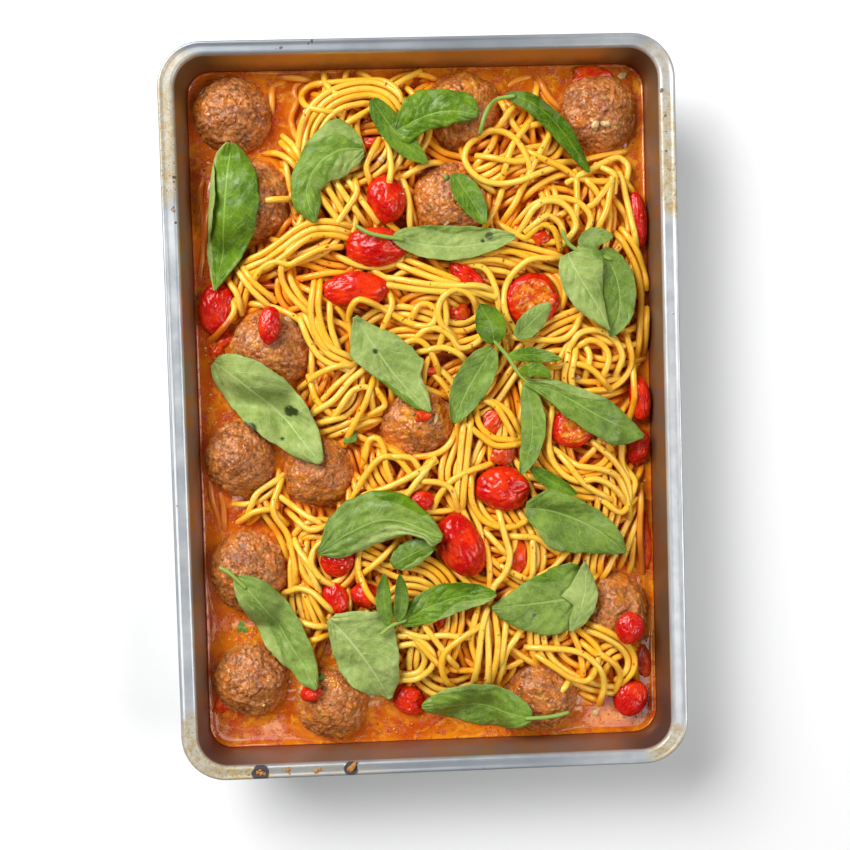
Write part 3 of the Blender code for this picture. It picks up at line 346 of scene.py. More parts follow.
# Strands that show on top, as read off the photo: how many side by side, then the guide points
SHOWN_STRANDS = (
    (1, (-42, 152), (-41, 147), (-38, 143), (-35, 141)),
    (1, (-32, 150), (-31, 154), (-26, 153), (-20, 147.5), (-14, 146)),
    (1, (-9, 146), (-2, 150.5)),
    (1, (-32, 128), (-22, 134), (-16, 138)),
    (1, (-10, 134.5), (-4, 137), (0, 138)),
    (4, (-50, 116), (-48, 127), (-41, 136), (-32, 140.5), (-22, 142), (-14, 139), (-8, 131)),
    (1, (-6, 135), (-9, 143), (-15, 147.5), (-25, 147.5), (-38, 147), (-48, 147), (-52, 143), (-50, 137),
     (-45, 134.5), (-38, 133)),
    (1, (-71, 95), (-58, 95.5)),
    (1, (-73, 117.5), (-65, 117), (-59.4, 113.6), (-55.5, 109.5)),
    (1, (-61, 124.5), (-57, 120), (-53.5, 114.3)),
    (1, (-59, 118.4), (-55.8, 114.4), (-53.6, 110.8)),
    (1, (-46, 98), (-38, 87)),
    (1, (-43, 102), (-34, 87)),
    (1, (-38, 103), (-27, 87)),
    (1, (-32, 103), (-22, 88)),
    (1, (-29, 101), (-29, 97), (-35, 88)),
    (1, (-14, 118), (-13, 108), (-14, 101)),
    (1, (-20, 118), (-24, 110), (-22, 102)),
    (2, (-82, 65), (-77, 58), (-71, 52)),
    (1, (-88, 60), (-84, 53), (-83, 45)),
    (1, (-50, 82), (-57, 76), (-62, 69), (-63.5, 61), (-61, 54), (-57, 49), (-52, 44.5)),
    (3, (-78, 66), (-70, 69), (-62, 74), (-55, 79), (-48, 82), (-40, 82), (-32, 80)),
    (1, (-76, 60), (-72, 65), (-66, 67.5), (-60, 66), (-56, 68), (-45, 73), (-36, 74)),
    (1, (-87, 52), (-86, 46), (-92, 38), (-99, 33)),
    (1, (-106, 36), (-104, 29), (-98, 26.5)),
    (3, (-52, 40), (-49, 33), (-44, 26), (-36, 22)),
    (2, (-48, 55), (-49, 45), (-47, 35), (-43, 28)),
    (1, (-42, 50), (-42, 38), (-40, 30)),
    (1, (-33, 33), (-34, 43), (-30, 49.5), (-24, 48.5), (-15, 43.5), (-8, 39), (-2, 37)),
    (1, (-16, 54), (-14, 48), (-16, 42), (-19, 36)),
    (2, (-13, 57), (0, 54.5), (12, 53.5), (24, 53), (30, 51)),
    (1, (-12, 66), (-2, 61), (8, 57), (18, 54), (29, 50.5)),
    (1, (-8, 68), (4, 62), (14, 57.5)),
    (1, (22, 64), (28, 62), (32, 55), (34, 46)),
    (1, (18, 65.5), (32, 66), (42, 63.5)),
    (1, (28, 69), (40, 70), (50, 66)),
    (1, (-5, 42), (-2, 46.5), (3, 46), (5, 41), (2, 37), (-3, 37.5)),
    (1, (9, 50), (10, 40), (7, 30)),
    (1, (24, 45), (21, 50.5), (15, 53), (9, 50), (6, 44), (7, 38), (11, 34)),
    (1, (-5, 31), (0, 35.5), (6, 36), (12, 32), (15, 27), (20, 27), (26, 31)),
    (1, (-12, 29), (-4, 31), (1, 28), (4, 22), (5, 19)),
    (1, (0, 26), (8, 27), (15, 24), (18, 21)),
    (1, (60, 66), (50, 66), (43, 62), (38, 56), (36, 49), (37, 42), (41, 35), (46, 29)),
    (1, (41, 31), (50, 29.5), (60, 29), (66, 32), (70, 38)),
    (1, (50, 126), (60, 127), (57, 116)),
    (1, (36, 126), (43, 135)),
    (1, (48, 125), (42, 117), (38, 106)),
    (1, (60, 124), (53, 112), (47, 100)),
    (1, (30, 112), (42, 109), (52, 110)),
    (1, (27, 122), (22, 117), (20, 111), (23, 105), (29, 101), (37, 100), (45, 101), (53, 104), (60, 106.5)),
    (1, (27, 122), (33, 124), (40, 122), (45, 117), (48, 110), (49, 105)),
    (1, (50, 113), (56, 110), (64, 106.5), (71, 102), (80, 100), (88, 100)),
    (1, (70, 102), (78, 106), (86, 110), (91, 111.5), (95, 108), (95, 105)),
    (1, (84, 106), (88, 103), (88, 99)),
    (1, (75, 101), (80, 95), (84, 88)),
    (1, (84, 97), (78, 90), (70, 86)),
    (1, (86, 98), (84, 88), (80, 80)),
    (1, (70, 101), (70, 90), (69, 80)),
    (1, (92, 100), (94, 90), (96, 80), (98, 72)),
    (1, (50, 78), (54, 81), (59, 79), (61, 74)),
    (1, (50, 81), (56, 85), (62, 82), (64, 77)),
    (1, (44, 84), (50, 90), (60, 93), (70, 91), (76, 84), (74, 76)),
    (1, (46, 82), (50, 88), (56, 91.5), (63, 90.5), (68, 85), (69, 79), (66, 75)),
    (2, (92, 75), (98, 65), (101, 55), (101.5, 45), (100, 35), (99.5, 25)),
    (1, (92, 29), (94, 20), (92, 13), (85, 7), (75, 6)),
    (1, (95, 15), (95, 0), (93, -8)),
    (1, (72, 27), (74, 22), (73, 16)),
    (1, (70, 27), (75, 29), (81, 26), (83, 20), (80, 12)),
    (1, (66, 27), (70, 32), (78, 33), (85, 29), (89, 21), (87, 14)),
    (1, (60, 17), (68, 18), (75, 15), (81, 9)),
    (2, (66, 22), (64, 12), (66, 3), (70, -2)),
    (1, (57, -3), (55, -15), (56, -25), (61, -32), (68, -35), (76, -34), (84, -38), (90, -46)),
    (1, (60, -22), (68, -28), (78, -30), (86, -34), (90, -42), (92, -50)),
    (1, (78, -20), (85, -27), (91, -37), (92, -47)),
    (1, (89, -18), (89, -28), (92, -34)),
    (1, (93, -33), (95, -37), (93, -43)),
    (1, (80, -45), (87, -50), (92, -47)),
    (1, (62, -26), (70, -36), (80, -42)),
    (1, (28, 3), (36, -2), (41, -10)),
    (1, (25, 3), (31, 0), (36, -8), (39, -13)),
    (1, (22, 0), (24, -8), (30, -14), (38, -15.5)),
    (1, (18, -8), (24, -13), (31, -17.5), (41, -17.5)),
    (2, (18, -7), (16, -25), (14, -38), (13, -47)),
    (1, (26, -27), (18, -29), (10, -33), (5, -39), (3, -43)),
    (1, (19, -33), (19, -42), (23, -50), (30, -54), (38, -54.5), (46, -51)),
    (1, (28, -60), (33, -66)),
    (1, (38, -59), (48, -60), (56, -66)),
    (1, (46, -62), (46, -80)),
    (1, (35, -75), (42, -79)),
    (1, (48, -78), (56, -74), (61, -69)),
    (1, (32, -50), (34, -60), (35.5, -68), (33, -76), (28, -82), (26, -90)),
    (1, (39, -104), (33, -112), (30, -125)),
    (1, (33, -100), (31, -115)),
    (1, (28, -94), (29, -110), (26, -127)),
    (1, (24, -95), (25, -110), (24, -127)),
    (1, (20, -92), (17, -105), (20, -117)),
    (1, (26, -88), (22, -100), (20, -115), (18, -127)),
    (1, (-17, -108), (-8, -107), (-4, -113), (-6, -120), (-12, -122), (-17, -121)),
    (1, (-17, -103), (-8, -104), (-1, -111), (-1, -118), (-8, -124), (-17, -124)),
    (1, (-14, -101), (-5, -104), (5, -103), (14, -104)),
    (1, (-8, -105), (-2, -112), (3, -118)),
    (1, (-5, -98), (2, -107), (8, -115)),
    (1, (20, -100), (12, -105), (5, -111), (3, -118), (5, -125), (9, -129)),
    (1, (-29, -22), (-27, -14), (-23, -12.5), (-20, -17), (-19, -25), (-17, -32)),
    (1, (-35, -40), (-29, -30), (-22, -22), (-15, -22), (-10, -27), (-7, -31)),
    (1, (-17, -21), (-8, -22), (-5, -26)),
    (1, (-28, -38), (-18, -34.5), (-8, -30), (0, -26)),
    (1, (-10, -39), (-5, -32), (0, -26)),
    (1, (-3, -33), (5, -34), (10, -37), (12, -43)),
    (1, (-70, -31), (-78, -36), (-81, -42)),
    (1, (-86, -49), (-80, -45), (-72, -44), (-68, -48)),
    (1, (-68, -34), (-71, -42), (-70, -48), (-65, -56), (-62, -68), (-62, -76)),
    (1, (-66, -40), (-58, -46), (-50, -50)),
    (1, (-62, -48), (-55, -53), (-48, -52)),
    (1, (-60, -62), (-56, -70), (-52, -80)),
    (1, (-58, -65), (-50, -77)),
    (1, (-46, -57), (-52, -61), (-54, -68), (-50, -75), (-45, -79)),
    (1, (-58, -84), (-54, -94)),
    (1, (-55, -84), (-50, -94)),
    (1, (-62, -95), (-55, -97), (-50, -98)),
    (1, (-58, -105), (-50, -103)),
    (1, (-66, -82), (-60, -80), (-54, -82), (-48, -88), (-43, -94)),
    (1, (-33, -67), (-33, -78)),
    (1, (-32, -75), (-28, -84), (-20, -92)),
    (1, (-28, -72), (-22, -67), (-17, -62)),
    (1, (-54, 13), (-48, 17), (-40, 20), (-34, 20.5)),
    (1, (-52, 12), (-50, 5), (-45, 0)),
    (1, (-50, 0), (-42, 5), (-35, 13), (-30, 17)),
    (1, (-48, -5), (-40, -3)),
    (1, (-22, 8), (-19, 2), (-24, -1)),
    (1, (-40, 0), (-33, 9), (-26, 10), (-25, 4)),
    (1, (-25, 11), (-28, 3), (-33, -6), (-36, -12)),
    (1, (57, -132), (62, -127)),
    (1, (64, -105), (67, -113), (68, -122)),
    (1, (66, -103), (72, -108), (76, -113), (75, -115), (71, -112)),
    (1, (77, -115), (83, -120), (86, -126), (85, -131)),
    (1, (50, -117), (56, -121), (62, -125), (70, -127), (74, -122), (75, -118)),
    (1, (46, -111), (50, -111), (62, -112), (70, -115), (76, -122), (78, -130), (77, -137)),
    (2, (70, -102), (78, -105), (86, -110), (91, -117), (91, -123), (88, -127)),
)

# Strands half sunk in the sauce outside the heap
SUNK_STRANDS = (
    (1, (-100, -32), (-99, -40), (-96, -50), (-97, -58)),
    (1, (-96, -33), (-94, -42), (-94, -52)),
    (1, (-101, 62), (-99, 78), (-99.5, 100), (-98, 106)),
    (1, (-96.7, 114.4), (-93, 112), (-91.8, 107)),
    (1, (-97, 66), (-98, 80), (-96.4, 92)),
    (1, (-65.6, 140), (-65, 147.6), (-60, 149)),
    (1, (-53.6, 140), (-55.7, 144.2), (-54.6, 148.3), (-51, 149.5)),
    (1, (-55, 138), (-57.4, 132), (-56.3, 126), (-54, 122)),
    (1, (38, 142), (45, 148), (52, 150)),
    (1, (56, 148), (60, 140), (66, 134)),
    (1, (104, 96), (103, 76), (104, 60)),
    (1, (98, -44), (97, -62), (99, -80)),
    (1, (-50, 150), (-62, 152)),
)


def outline_depth(x, y):
    """Distance inside the heap outline, below zero outside it."""
    nearest = np.full(x.shape, 1e9)
    inside = np.zeros(x.shape, dtype=bool)
    count = len(HEAP_OUTLINE)
    for index in range(count):
        ax, ay = HEAP_OUTLINE[index]
        bx, by = HEAP_OUTLINE[(index + 1) % count]
        span_x = bx - ax
        span_y = by - ay
        share = ((x - ax) * span_x + (y - ay) * span_y) / (span_x ** 2 + span_y ** 2)
        share = np.clip(share, 0.0, 1.0)
        nearest = np.minimum(nearest, np.hypot(x - ax - share * span_x, y - ay - share * span_y))
        crosses = (ay > y) != (by > y)
        if span_y != 0:
            inside ^= crosses & (x < ax + (y - ay) / span_y * span_x)
    return np.where(inside, nearest, -nearest)


def heap_height(x, y):
    """Top of the heap's core; it runs down to its edge height at the outline."""
    depth = np.clip(outline_depth(x, y) / HEAP_SHOULDER, 0.0, 1.0)
    swell = depth * depth * (3 - 2 * depth)
    height = HEAP_EDGE + HEAP_RISE * swell
    for centre_x, centre_y, rise, spread in HEAP_RISES:
        away = (x - centre_x) ** 2 + (y - centre_y) ** 2
        height = height + swell * rise * np.exp(-away / (2 * (spread * 0.75) ** 2))
    return height


def rough(points, size, seed=0.0):
    """Smooth noise from -1 to 1 at each point, with features of about that many millimetres."""
    shift = Vector((seed * 7.1, seed * 3.7, -seed * 5.3))
    return np.array([noise.noise(Vector(point) / size + shift) for point in points])


def lumps(seed, unit, amount):
    """Smooth uneven factor, never above one, for points on a unit ball."""
    value = [noise.noise(Vector((x * 1.6 + seed * 7.3, y * 1.6 - seed * 3.1, z * 1.6 + seed)))
             for x, y, z in unit]
    return 1.0 - amount * (0.5 + 0.5 * np.array(value))


def even_ball(divisions, finer_above=None):
    """Unit ball of even triangles, finer above a height if one is given: points and faces."""
    ball = bmesh.new()
    bmesh.ops.create_icosphere(ball, subdivisions=divisions, radius=1.0)
    if finer_above is not None:
        shown = [edge for edge in ball.edges if min(vert.co.z for vert in edge.verts) > finer_above]
        bmesh.ops.subdivide_edges(ball, edges=shown, cuts=1, use_grid_fill=True)
        for vert in ball.verts:
            vert.co.normalize()
        bmesh.ops.triangulate(ball, faces=ball.faces[:])
    ball.verts.index_update()
    points = np.array([vert.co[:] for vert in ball.verts])
    faces = [tuple(vert.index for vert in face.verts) for face in ball.faces]
    ball.free()
    return points, faces


def new_object(name, data):
    obj = bpy.data.objects.new(name, data)
    bpy.context.scene.collection.objects.link(obj)
    return obj


def add_mesh(name, points, faces, finish, values=None, uv=None, edges=()):
    """Makes a smooth mesh object from millimetre points, with values stored for its material."""
    mesh = bpy.data.meshes.new(name)
    mesh.from_pydata((np.asarray(points, dtype=float) * MM).tolist(), edges, faces)
    mesh.polygons.foreach_set("use_smooth", [True] * len(mesh.polygons))
    for key, numbers in (values or {}).items():
        store = mesh.attributes.new(key, "FLOAT", "POINT")
        store.data.foreach_set("value", np.asarray(numbers, dtype=np.float32))
    if uv is not None:
        corner_points = np.empty(len(mesh.loops), dtype=np.int64)
        mesh.loops.foreach_get("vertex_index", corner_points)
        layer = mesh.uv_layers.new(name="UVMap")
        layer.data.foreach_set("uv", np.asarray(uv, dtype=np.float32)[corner_points].ravel())
    mesh.materials.append(finish)
    return new_object(name, mesh)


def slab_faces(rows, cols):
    """Faces of a closed slab between two sheets of points with the same rows and columns."""
    under = rows * cols
    faces = []
    for row in range(rows - 1):
        for col in range(cols - 1):
            here = row * cols + col
            faces.append((here, here + 1, here + cols + 1, here + cols))
            faces.append((here + under, here + cols + under, here + cols + 1 + under, here + 1 + under))
    border = list(range(cols)) + [row * cols + cols - 1 for row in range(1, rows)]
    border += [(rows - 1) * cols + col for col in range(cols - 2, -1, -1)]
    border += [row * cols for row in range(rows - 2, 0, -1)]
    for here, following in zip(border, border[1:] + border[:1]):
        faces.append((here, following, following + under, here + under))
    return faces


def turn_outward(obj):
    """Points all the faces of a closed mesh outward."""
    shell = bmesh.new()
    shell.from_mesh(obj.data)
    bmesh.ops.recalc_face_normals(shell, faces=shell.faces[:])
    shell.to_mesh(obj.data)
    shell.free()


def serve(obj, slot, *nodes):
    """Hands a finished piece to the frame."""
    if nodes:
        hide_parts(*nodes)
    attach(obj, "root")


# Node trees and materials


def colour_end(sockets, name):
    """The colour socket of that name; a mix node has others under the same name."""
    return next(socket for socket in sockets if socket.name == name and socket.type == "RGBA")


class Nodes:
    """Short hands for building a node tree."""

    def __init__(self, tree):
        self.tree = tree

    def plug(self, value, socket):
        if isinstance(value, bpy.types.NodeSocket):
            self.tree.links.new(value, socket)
        else:
            socket.default_value = value

    def node(self, kind, plugs=None, **settings):
        """A node with its settings, and with values or links plugged into its inputs by name or number."""
        made = self.tree.nodes.new(kind)
        for key, value in settings.items():
            setattr(made, key, value)
        for key, value in (plugs or {}).items():
            if value is not None:
                self.plug(value, made.inputs[key])
        return made

    def vector_math(self, operation, first, second=None, scale=None):
        made = self.node("ShaderNodeVectorMath", {0: first, 1: second, "Scale": scale}, operation=operation)
        return made.outputs["Value" if operation in ("LENGTH", "DISTANCE") else "Vector"]

    def math(self, operation, first, second=None, clamp=False):
        made = self.node("ShaderNodeMath", {0: first, 1: second}, operation=operation, use_clamp=clamp)
        return made.outputs[0]

    def times(self, first, second):
        return self.math("MULTIPLY", first, second)

    def plus(self, first, second):
        return self.math("ADD", first, second)

    def minus(self, first, second):
        return self.math("SUBTRACT", first, second)

    def most(self, first, second):
        return self.math("MAXIMUM", first, second)

    def size(self, value):
        return self.math("ABSOLUTE", value)

    def axes(self, vector):
        return self.node("ShaderNodeSeparateXYZ", {"Vector": vector}).outputs


class Finish(Nodes):
    """One procedural material; sizes are in millimetres."""

    def __init__(self, name, roughness, **fixed):
        self.material = bpy.data.materials.new(name)
        self.material.use_nodes = True
        super().__init__(self.material.node_tree)
        self.shader = self.tree.nodes["Principled BSDF"]
        self.end("Roughness", roughness)
        for key, value in fixed.items():
            self.end(key.replace("_", " "), value)
        coordinates = self.node("ShaderNodeTexCoord")
        self.place = self.vector_math("SCALE", coordinates.outputs["Object"], scale=1000.0)
        self.uv = coordinates.outputs["UV"]

    def end(self, name, value):
        self.plug(value, self.shader.inputs[name])

    def noise(self, size, detail=3.0, roughness=0.55, at=None, distortion=0.0, output="Fac"):
        plugs = {"Vector": at or self.place, "Scale": 1.0 / size, "Detail": detail, "Roughness": roughness,
                 "Distortion": distortion}
        return self.node("ShaderNodeTexNoise", plugs).outputs[output]

    def wavy(self, place, size, amount):
        """A place moved about by coloured noise."""
        colour = self.noise(size, 2.0, 0.5, output="Color")
        return self.vector_math("ADD", place, self.vector_math("SCALE", colour, scale=amount))

    def cells(self, size, feature="F1", at=None):
        plugs = {"Vector": at or self.place, "Scale": 1.0 / size}
        return self.node("ShaderNodeTexVoronoi", plugs, feature=feature).outputs["Distance"]

    def stored(self, name):
        return self.node("ShaderNodeAttribute", attribute_name=name).outputs["Fac"]

    def step(self, value, low, high):
        """Smooth step from 0 at low to 1 at high; low may be the larger."""
        if low > high:
            return self.minus(1.0, self.step(value, high, low))
        plugs = {"Value": value, "From Min": low, "From Max": high}
        return self.node("ShaderNodeMapRange", plugs, interpolation_type="SMOOTHSTEP").outputs["Result"]

    def mix(self, share, first, second):
        made = self.node("ShaderNodeMix", {"Factor": share}, data_type="RGBA")
        for value, name in ((first, "A"), (second, "B")):
            self.plug((*value, 1.0) if isinstance(value, tuple) else value, colour_end(made.inputs, name))
        return colour_end(made.outputs, "Result")

    def over(self, base, share, strength, colour):
        """Lays a colour over another where the share is high, no stronger than the strength."""
        return self.mix(self.times(share, strength), base, colour)

    def relief(self, *layers):
        """Bumps in order: (height, strength, depth in millimetres)."""
        normal = None
        for height, strength, depth in layers:
            plugs = {"Strength": strength, "Distance": depth * MM, "Height": height, "Normal": normal}
            normal = self.node("ShaderNodeBump", plugs).outputs["Normal"]
        self.end("Normal", normal)


class Growth(Nodes):
    """A Geometry Nodes tree with named inputs: one shape, some numbers and some whole numbers."""

    def __init__(self, name, shape, result, numbers, whole_numbers=()):
        super().__init__(bpy.data.node_groups.new(name, "GeometryNodeTree"))
        kinds = [(shape, "Geometry"), *((key, "Float") for key in numbers)]
        kinds += [(key, "Int") for key in whole_numbers]
        for key, kind in kinds:
            self.tree.interface.new_socket(key, in_out="INPUT", socket_type="NodeSocket" + kind)
        self.tree.interface.new_socket(result, in_out="OUTPUT", socket_type="NodeSocketGeometry")
        self.given = self.node("NodeGroupInput").outputs

    def close(self, shape, finish):
        """Ends the tree: smooth, realised and with its material."""
        smooth = self.node("GeometryNodeSetShadeSmooth", {"Geometry": shape})
        real = self.node("GeometryNodeRealizeInstances", {"Geometry": smooth.outputs["Geometry"]})
        coat = self.node("GeometryNodeSetMaterial",
                         {"Geometry": real.outputs["Geometry"], "Material": finish})
        self.node("NodeGroupOutput", {0: coat.outputs["Geometry"]})
        return self.tree


def strand_finish():
    """Cooked durum strands: pale gold on top, sauce-stained between and below, with painted shade on their
    flanks.
    """
    made = Finish("spaghetti_gold", 0.34, Subsurface_Weight=0.3, Subsurface_Scale=0.0015,
                  Subsurface_Radius=(1.0, 0.5, 0.12), Specular_IOR_Level=0.45,
                  Coat_Weight=0.22, Coat_Roughness=0.12)
    depth = made.stored("depth")
    tint = made.stored("tint")
    gold = made.mix(tint, (0.98, 0.490, 0.022), (0.99, 0.640, 0.085))
    amber = made.mix(tint, (0.92, 0.320, 0.008), (0.96, 0.410, 0.015))
    soaked = (0.60, 0.130, 0.006)
    patch = made.step(made.noise(17.0, 3.0, 0.6), 0.50, 0.72)
    film = made.step(made.noise(3.6, 4.0, 0.65), 0.54, 0.70)
    low = made.math("ADD", depth, made.times(patch, 0.22), clamp=True)
    base = made.mix(made.step(low, 0.10, 0.52), gold, amber)
    base = made.mix(made.step(low, 0.50, 0.95), base, soaked)
    facing = made.axes(made.node("ShaderNodeNewGeometry").outputs["Normal"])
    # painted shade: the flanks of each strand that face away from straight up are painted amber
    painted_flank_shade = made.step(facing["Z"], 0.75, 0.10)
    base = made.over(base, painted_flank_shade, 0.45, (0.84, 0.250, 0.008))
    base = made.over(base, film, 0.40, (0.84, 0.27, 0.012))
    base = made.over(base, made.stored("sauced"), 0.75, (0.70, 0.21, 0.022))
    speck = made.step(made.noise(1.1, 3.0, 0.7), 0.66, 0.74)
    base = made.over(base, speck, 0.40, (0.70, 0.13, 0.010))
    made.end("Base Color", base)
    made.end("Roughness", made.plus(made.times(made.noise(2.5, 2.0), 0.26), 0.18))
    made.relief((made.noise(0.8, 3.0, 0.6), 0.28, 0.10), (film, 0.35, 0.14))
    return made.material


def sauce_finish():
    """Oily tomato sauce: orange film over a red body, with clots and fine pulp."""
    made = Finish("tomato_sauce_oily", 0.2, Specular_IOR_Level=0.45, Coat_Weight=0.30, Coat_Roughness=0.05)
    body = made.mix(made.step(made.noise(24.0, 5.0, 0.62, distortion=0.8), 0.36, 0.66),
                    (0.50, 0.060, 0.004), (0.74, 0.220, 0.006))
    oil = made.step(made.noise(8.0, 4.0, 0.6, distortion=1.4), 0.52, 0.68)
    body = made.over(body, oil, 0.70, (0.86, 0.380, 0.022))
    at_left = made.step(made.axes(made.place)["X"], -82.0, -100.0)
    body = made.over(body, at_left, 0.40, (0.54, 0.055, 0.004))
    clots = made.step(made.noise(4.2, 4.0, 0.7), 0.54, 0.64)
    body = made.over(body, clots, 0.62, (0.48, 0.028, 0.005))
    grain = made.step(made.noise(0.8, 4.0, 0.7), 0.58, 0.70)
    body = made.over(body, grain, 0.45, (0.86, 0.400, 0.060))
    flecks = made.step(made.cells(5.2), 0.12, 0.07)
    body = made.over(body, flecks, 0.7, (0.12, 0.035, 0.005))
    made.end("Base Color", body)
    made.end("Roughness", made.plus(made.times(made.most(grain, clots), 0.28), 0.11))
    made.relief((made.noise(7.0, 3.0, 0.5), 0.20, 0.4), (clots, 0.6, 0.30),
                (made.noise(1.1, 3.0, 0.6), 0.25, 0.10))
    return made.material


def meatball_finish():
    """Baked ground meat: browned grains, paler fat, painted shade in the clefts and a glaze of sauce."""
    made = Finish("meatball_browned", 0.42)
    hollow = made.stored("hollow")
    sauced = made.stored("sauced")
    apart = made.vector_math("ADD", made.place, (31.0, 17.0, 5.0))
    meat = made.mix(made.step(made.noise(9.0, 4.0, 0.65), 0.38, 0.62), (0.34, 0.095, 0.018),
                    (0.60, 0.215, 0.058))
    orange = made.step(made.noise(7.0, 3.0, 0.6, at=apart), 0.53, 0.64)
    meat = made.over(meat, orange, 0.65, (0.66, 0.175, 0.009))
    olive = made.step(made.noise(5.5, 3.0, 0.6), 0.56, 0.68)
    meat = made.over(meat, olive, 0.55, (0.26, 0.135, 0.018))
    grain = made.noise(1.7, 4.0, 0.7)
    meat = made.over(meat, made.step(grain, 0.54, 0.68), 0.60, (0.84, 0.420, 0.165))
    meat = made.over(meat, made.step(grain, 0.46, 0.36), 0.60, (0.17, 0.042, 0.008))
    onion = made.step(made.noise(3.4, 2.0, 0.5, at=apart), 0.70, 0.74)
    meat = made.over(meat, onion, 0.7, (0.80, 0.560, 0.300))
    herb = made.step(made.cells(4.4, at=apart), 0.14, 0.09)
    meat = made.over(meat, herb, 0.8, (0.045, 0.060, 0.010))
    # painted shade: the deepest clefts painted near black
    painted_cleft_shade = made.times(made.step(hollow, 0.36, 0.80), made.step(made.noise(5.0, 3.0, 0.6), 0.34, 0.56))
    meat = made.over(meat, painted_cleft_shade, 0.80, (0.110, 0.026, 0.004))
    wet = made.times(sauced, made.step(made.noise(6.0, 4.0, 0.6), 0.38, 0.60))
    glaze = made.mix(made.step(made.noise(5.0, 3.0, 0.6, at=apart), 0.42, 0.62),
                     (0.60, 0.130, 0.006), (0.76, 0.310, 0.020))
    meat = made.over(meat, wet, 0.85, glaze)
    made.end("Base Color", meat)
    made.end("Roughness", made.minus(0.42, made.times(made.most(wet, orange), 0.20)))
    made.relief((made.noise(1.1, 4.0, 0.7), 0.42, 0.22), (made.cells(0.8), 0.30, 0.12))
    return made.material


def tomato_finish():
    """Roasted tomato: slack skin with a fine grain, painted shade in its folds, a painted sheen in grainy
    patches, orange pulp where it is open.
    """
    made = Finish("tomato_roasted", 0.26, Subsurface_Weight=0.2, Subsurface_Scale=0.002,
                  Subsurface_Radius=(1.0, 0.2, 0.08), Specular_IOR_Level=0.35,
                  Coat_Weight=0.20, Coat_Roughness=0.16)
    skin = made.mix(made.step(made.noise(9.0, 3.0, 0.6), 0.40, 0.66), (0.58, 0.004, 0.002),
                    (0.83, 0.038, 0.003))
    # painted shade: the skin's creases painted darker red
    skin = made.over(skin, made.stored("crease"), 0.45, (0.40, 0.004, 0.003))
    blotch = made.step(made.noise(3.4, 3.0, 0.6), 0.58, 0.74)
    skin = made.over(skin, blotch, 0.4, (0.86, 0.120, 0.006))
    grain = made.step(made.noise(0.55, 2.0, 0.6), 0.50, 0.66)
    # painted sheen: grainy pale pink patches
    painted_sheen = made.times(made.step(made.noise(7.5, 2.0, 0.5), 0.54, 0.70), grain)
    skin = made.over(skin, painted_sheen, 0.35, (0.86, 0.170, 0.110))
    pulp = made.mix(made.step(made.noise(3.2, 4.0, 0.65), 0.40, 0.62), (0.62, 0.050, 0.004),
                    (0.84, 0.270, 0.010))
    pulp = made.over(pulp, made.step(made.cells(3.4), 0.22, 0.14), 0.7, (0.86, 0.480, 0.090))
    made.end("Base Color", made.mix(made.stored("open"), skin, pulp))
    made.end("Roughness", made.plus(made.times(grain, 0.14), 0.22))
    made.relief((made.noise(4.5, 2.0, 0.5), 0.4, 0.4), (made.noise(0.5, 2.0, 0.6), 0.22, 0.06))
    return made.material


def leaf_finish():
    """Basil: veins follow the blade; matt and pale below, glossier green above."""
    made = Finish("basil_fresh", 0.42, Specular_IOR_Level=0.23)
    along, breadth, _ = made.axes(made.uv)
    across = made.size(made.minus(made.times(breadth, 2.0), 1.0))
    swept = made.times(made.math("POWER", across, 1.25), VEIN_SWEEP)
    order = made.minus(made.times(along, SIDE_VEINS), swept)
    wobble = made.times(made.minus(made.noise(8.0, 2.0), 0.5), 0.7)
    place = made.math("FRACT", made.plus(order, wobble))
    from_vein = made.size(made.minus(place, 0.5))
    side_vein = made.step(from_vein, 0.455, 0.495)
    midrib = made.step(across, 0.050, 0.018)
    bent = made.wavy(made.place, 5.0, 3.0)
    net = made.step(made.cells(4.0, feature="DISTANCE_TO_EDGE", at=bent), 0.06, 0.012)
    fine = made.step(made.cells(1.5, feature="DISTANCE_TO_EDGE"), 0.09, 0.02)
    pale = made.stored("pale")
    shade = made.step(made.noise(11.0, 4.0, 0.65), 0.36, 0.66)
    top = made.mix(shade, (0.050, 0.126, 0.001), (0.140, 0.262, 0.002))
    below = made.mix(shade, (0.270, 0.365, 0.080), (0.410, 0.490, 0.150))
    green = made.mix(pale, top, below)
    mottle = made.step(made.noise(2.2, 4.0, 0.65), 0.44, 0.66)
    green = made.over(green, mottle, 0.22, (0.080, 0.165, 0.010))
    # the stored dark share: the darkness given to each blade, with a painted shadow along the borders of
    # turned-over parts
    green = made.over(green, made.stored("dark"), 0.8, (0.026, 0.070, 0.003))
    vein_colour = made.mix(pale, (0.26, 0.43, 0.035), (0.50, 0.62, 0.27))
    strength = made.plus(made.times(pale, 0.30), 0.18)
    green = made.over(green, fine, 0.14, vein_colour)
    green = made.over(green, net, 0.20, vein_colour)
    green = made.over(green, side_vein, made.plus(strength, 0.18), vein_colour)
    green = made.over(green, midrib, 0.70, vein_colour)
    green = made.mix(made.stored("blemish"), green, (0.030, 0.045, 0.005))
    # wet patches: glossier, and painted paler as a painted sheen
    wet = made.step(made.noise(10.0, 2.0, 0.4), 0.61, 0.63)
    green = made.over(green, wet, 0.16, (0.40, 0.52, 0.20))
    made.end("Base Color", green)
    matt = made.plus(made.times(pale, 0.22), 0.36)
    made.end("Roughness", made.minus(matt, made.times(wet, 0.16)))
    veins = made.most(side_vein, midrib)
    made.relief((veins, 0.5, 0.25), (net, 0.35, 0.14), (made.noise(2.4, 3.0, 0.6), 0.30, 0.35),
                (fine, 0.25, 0.06))
    return made.material


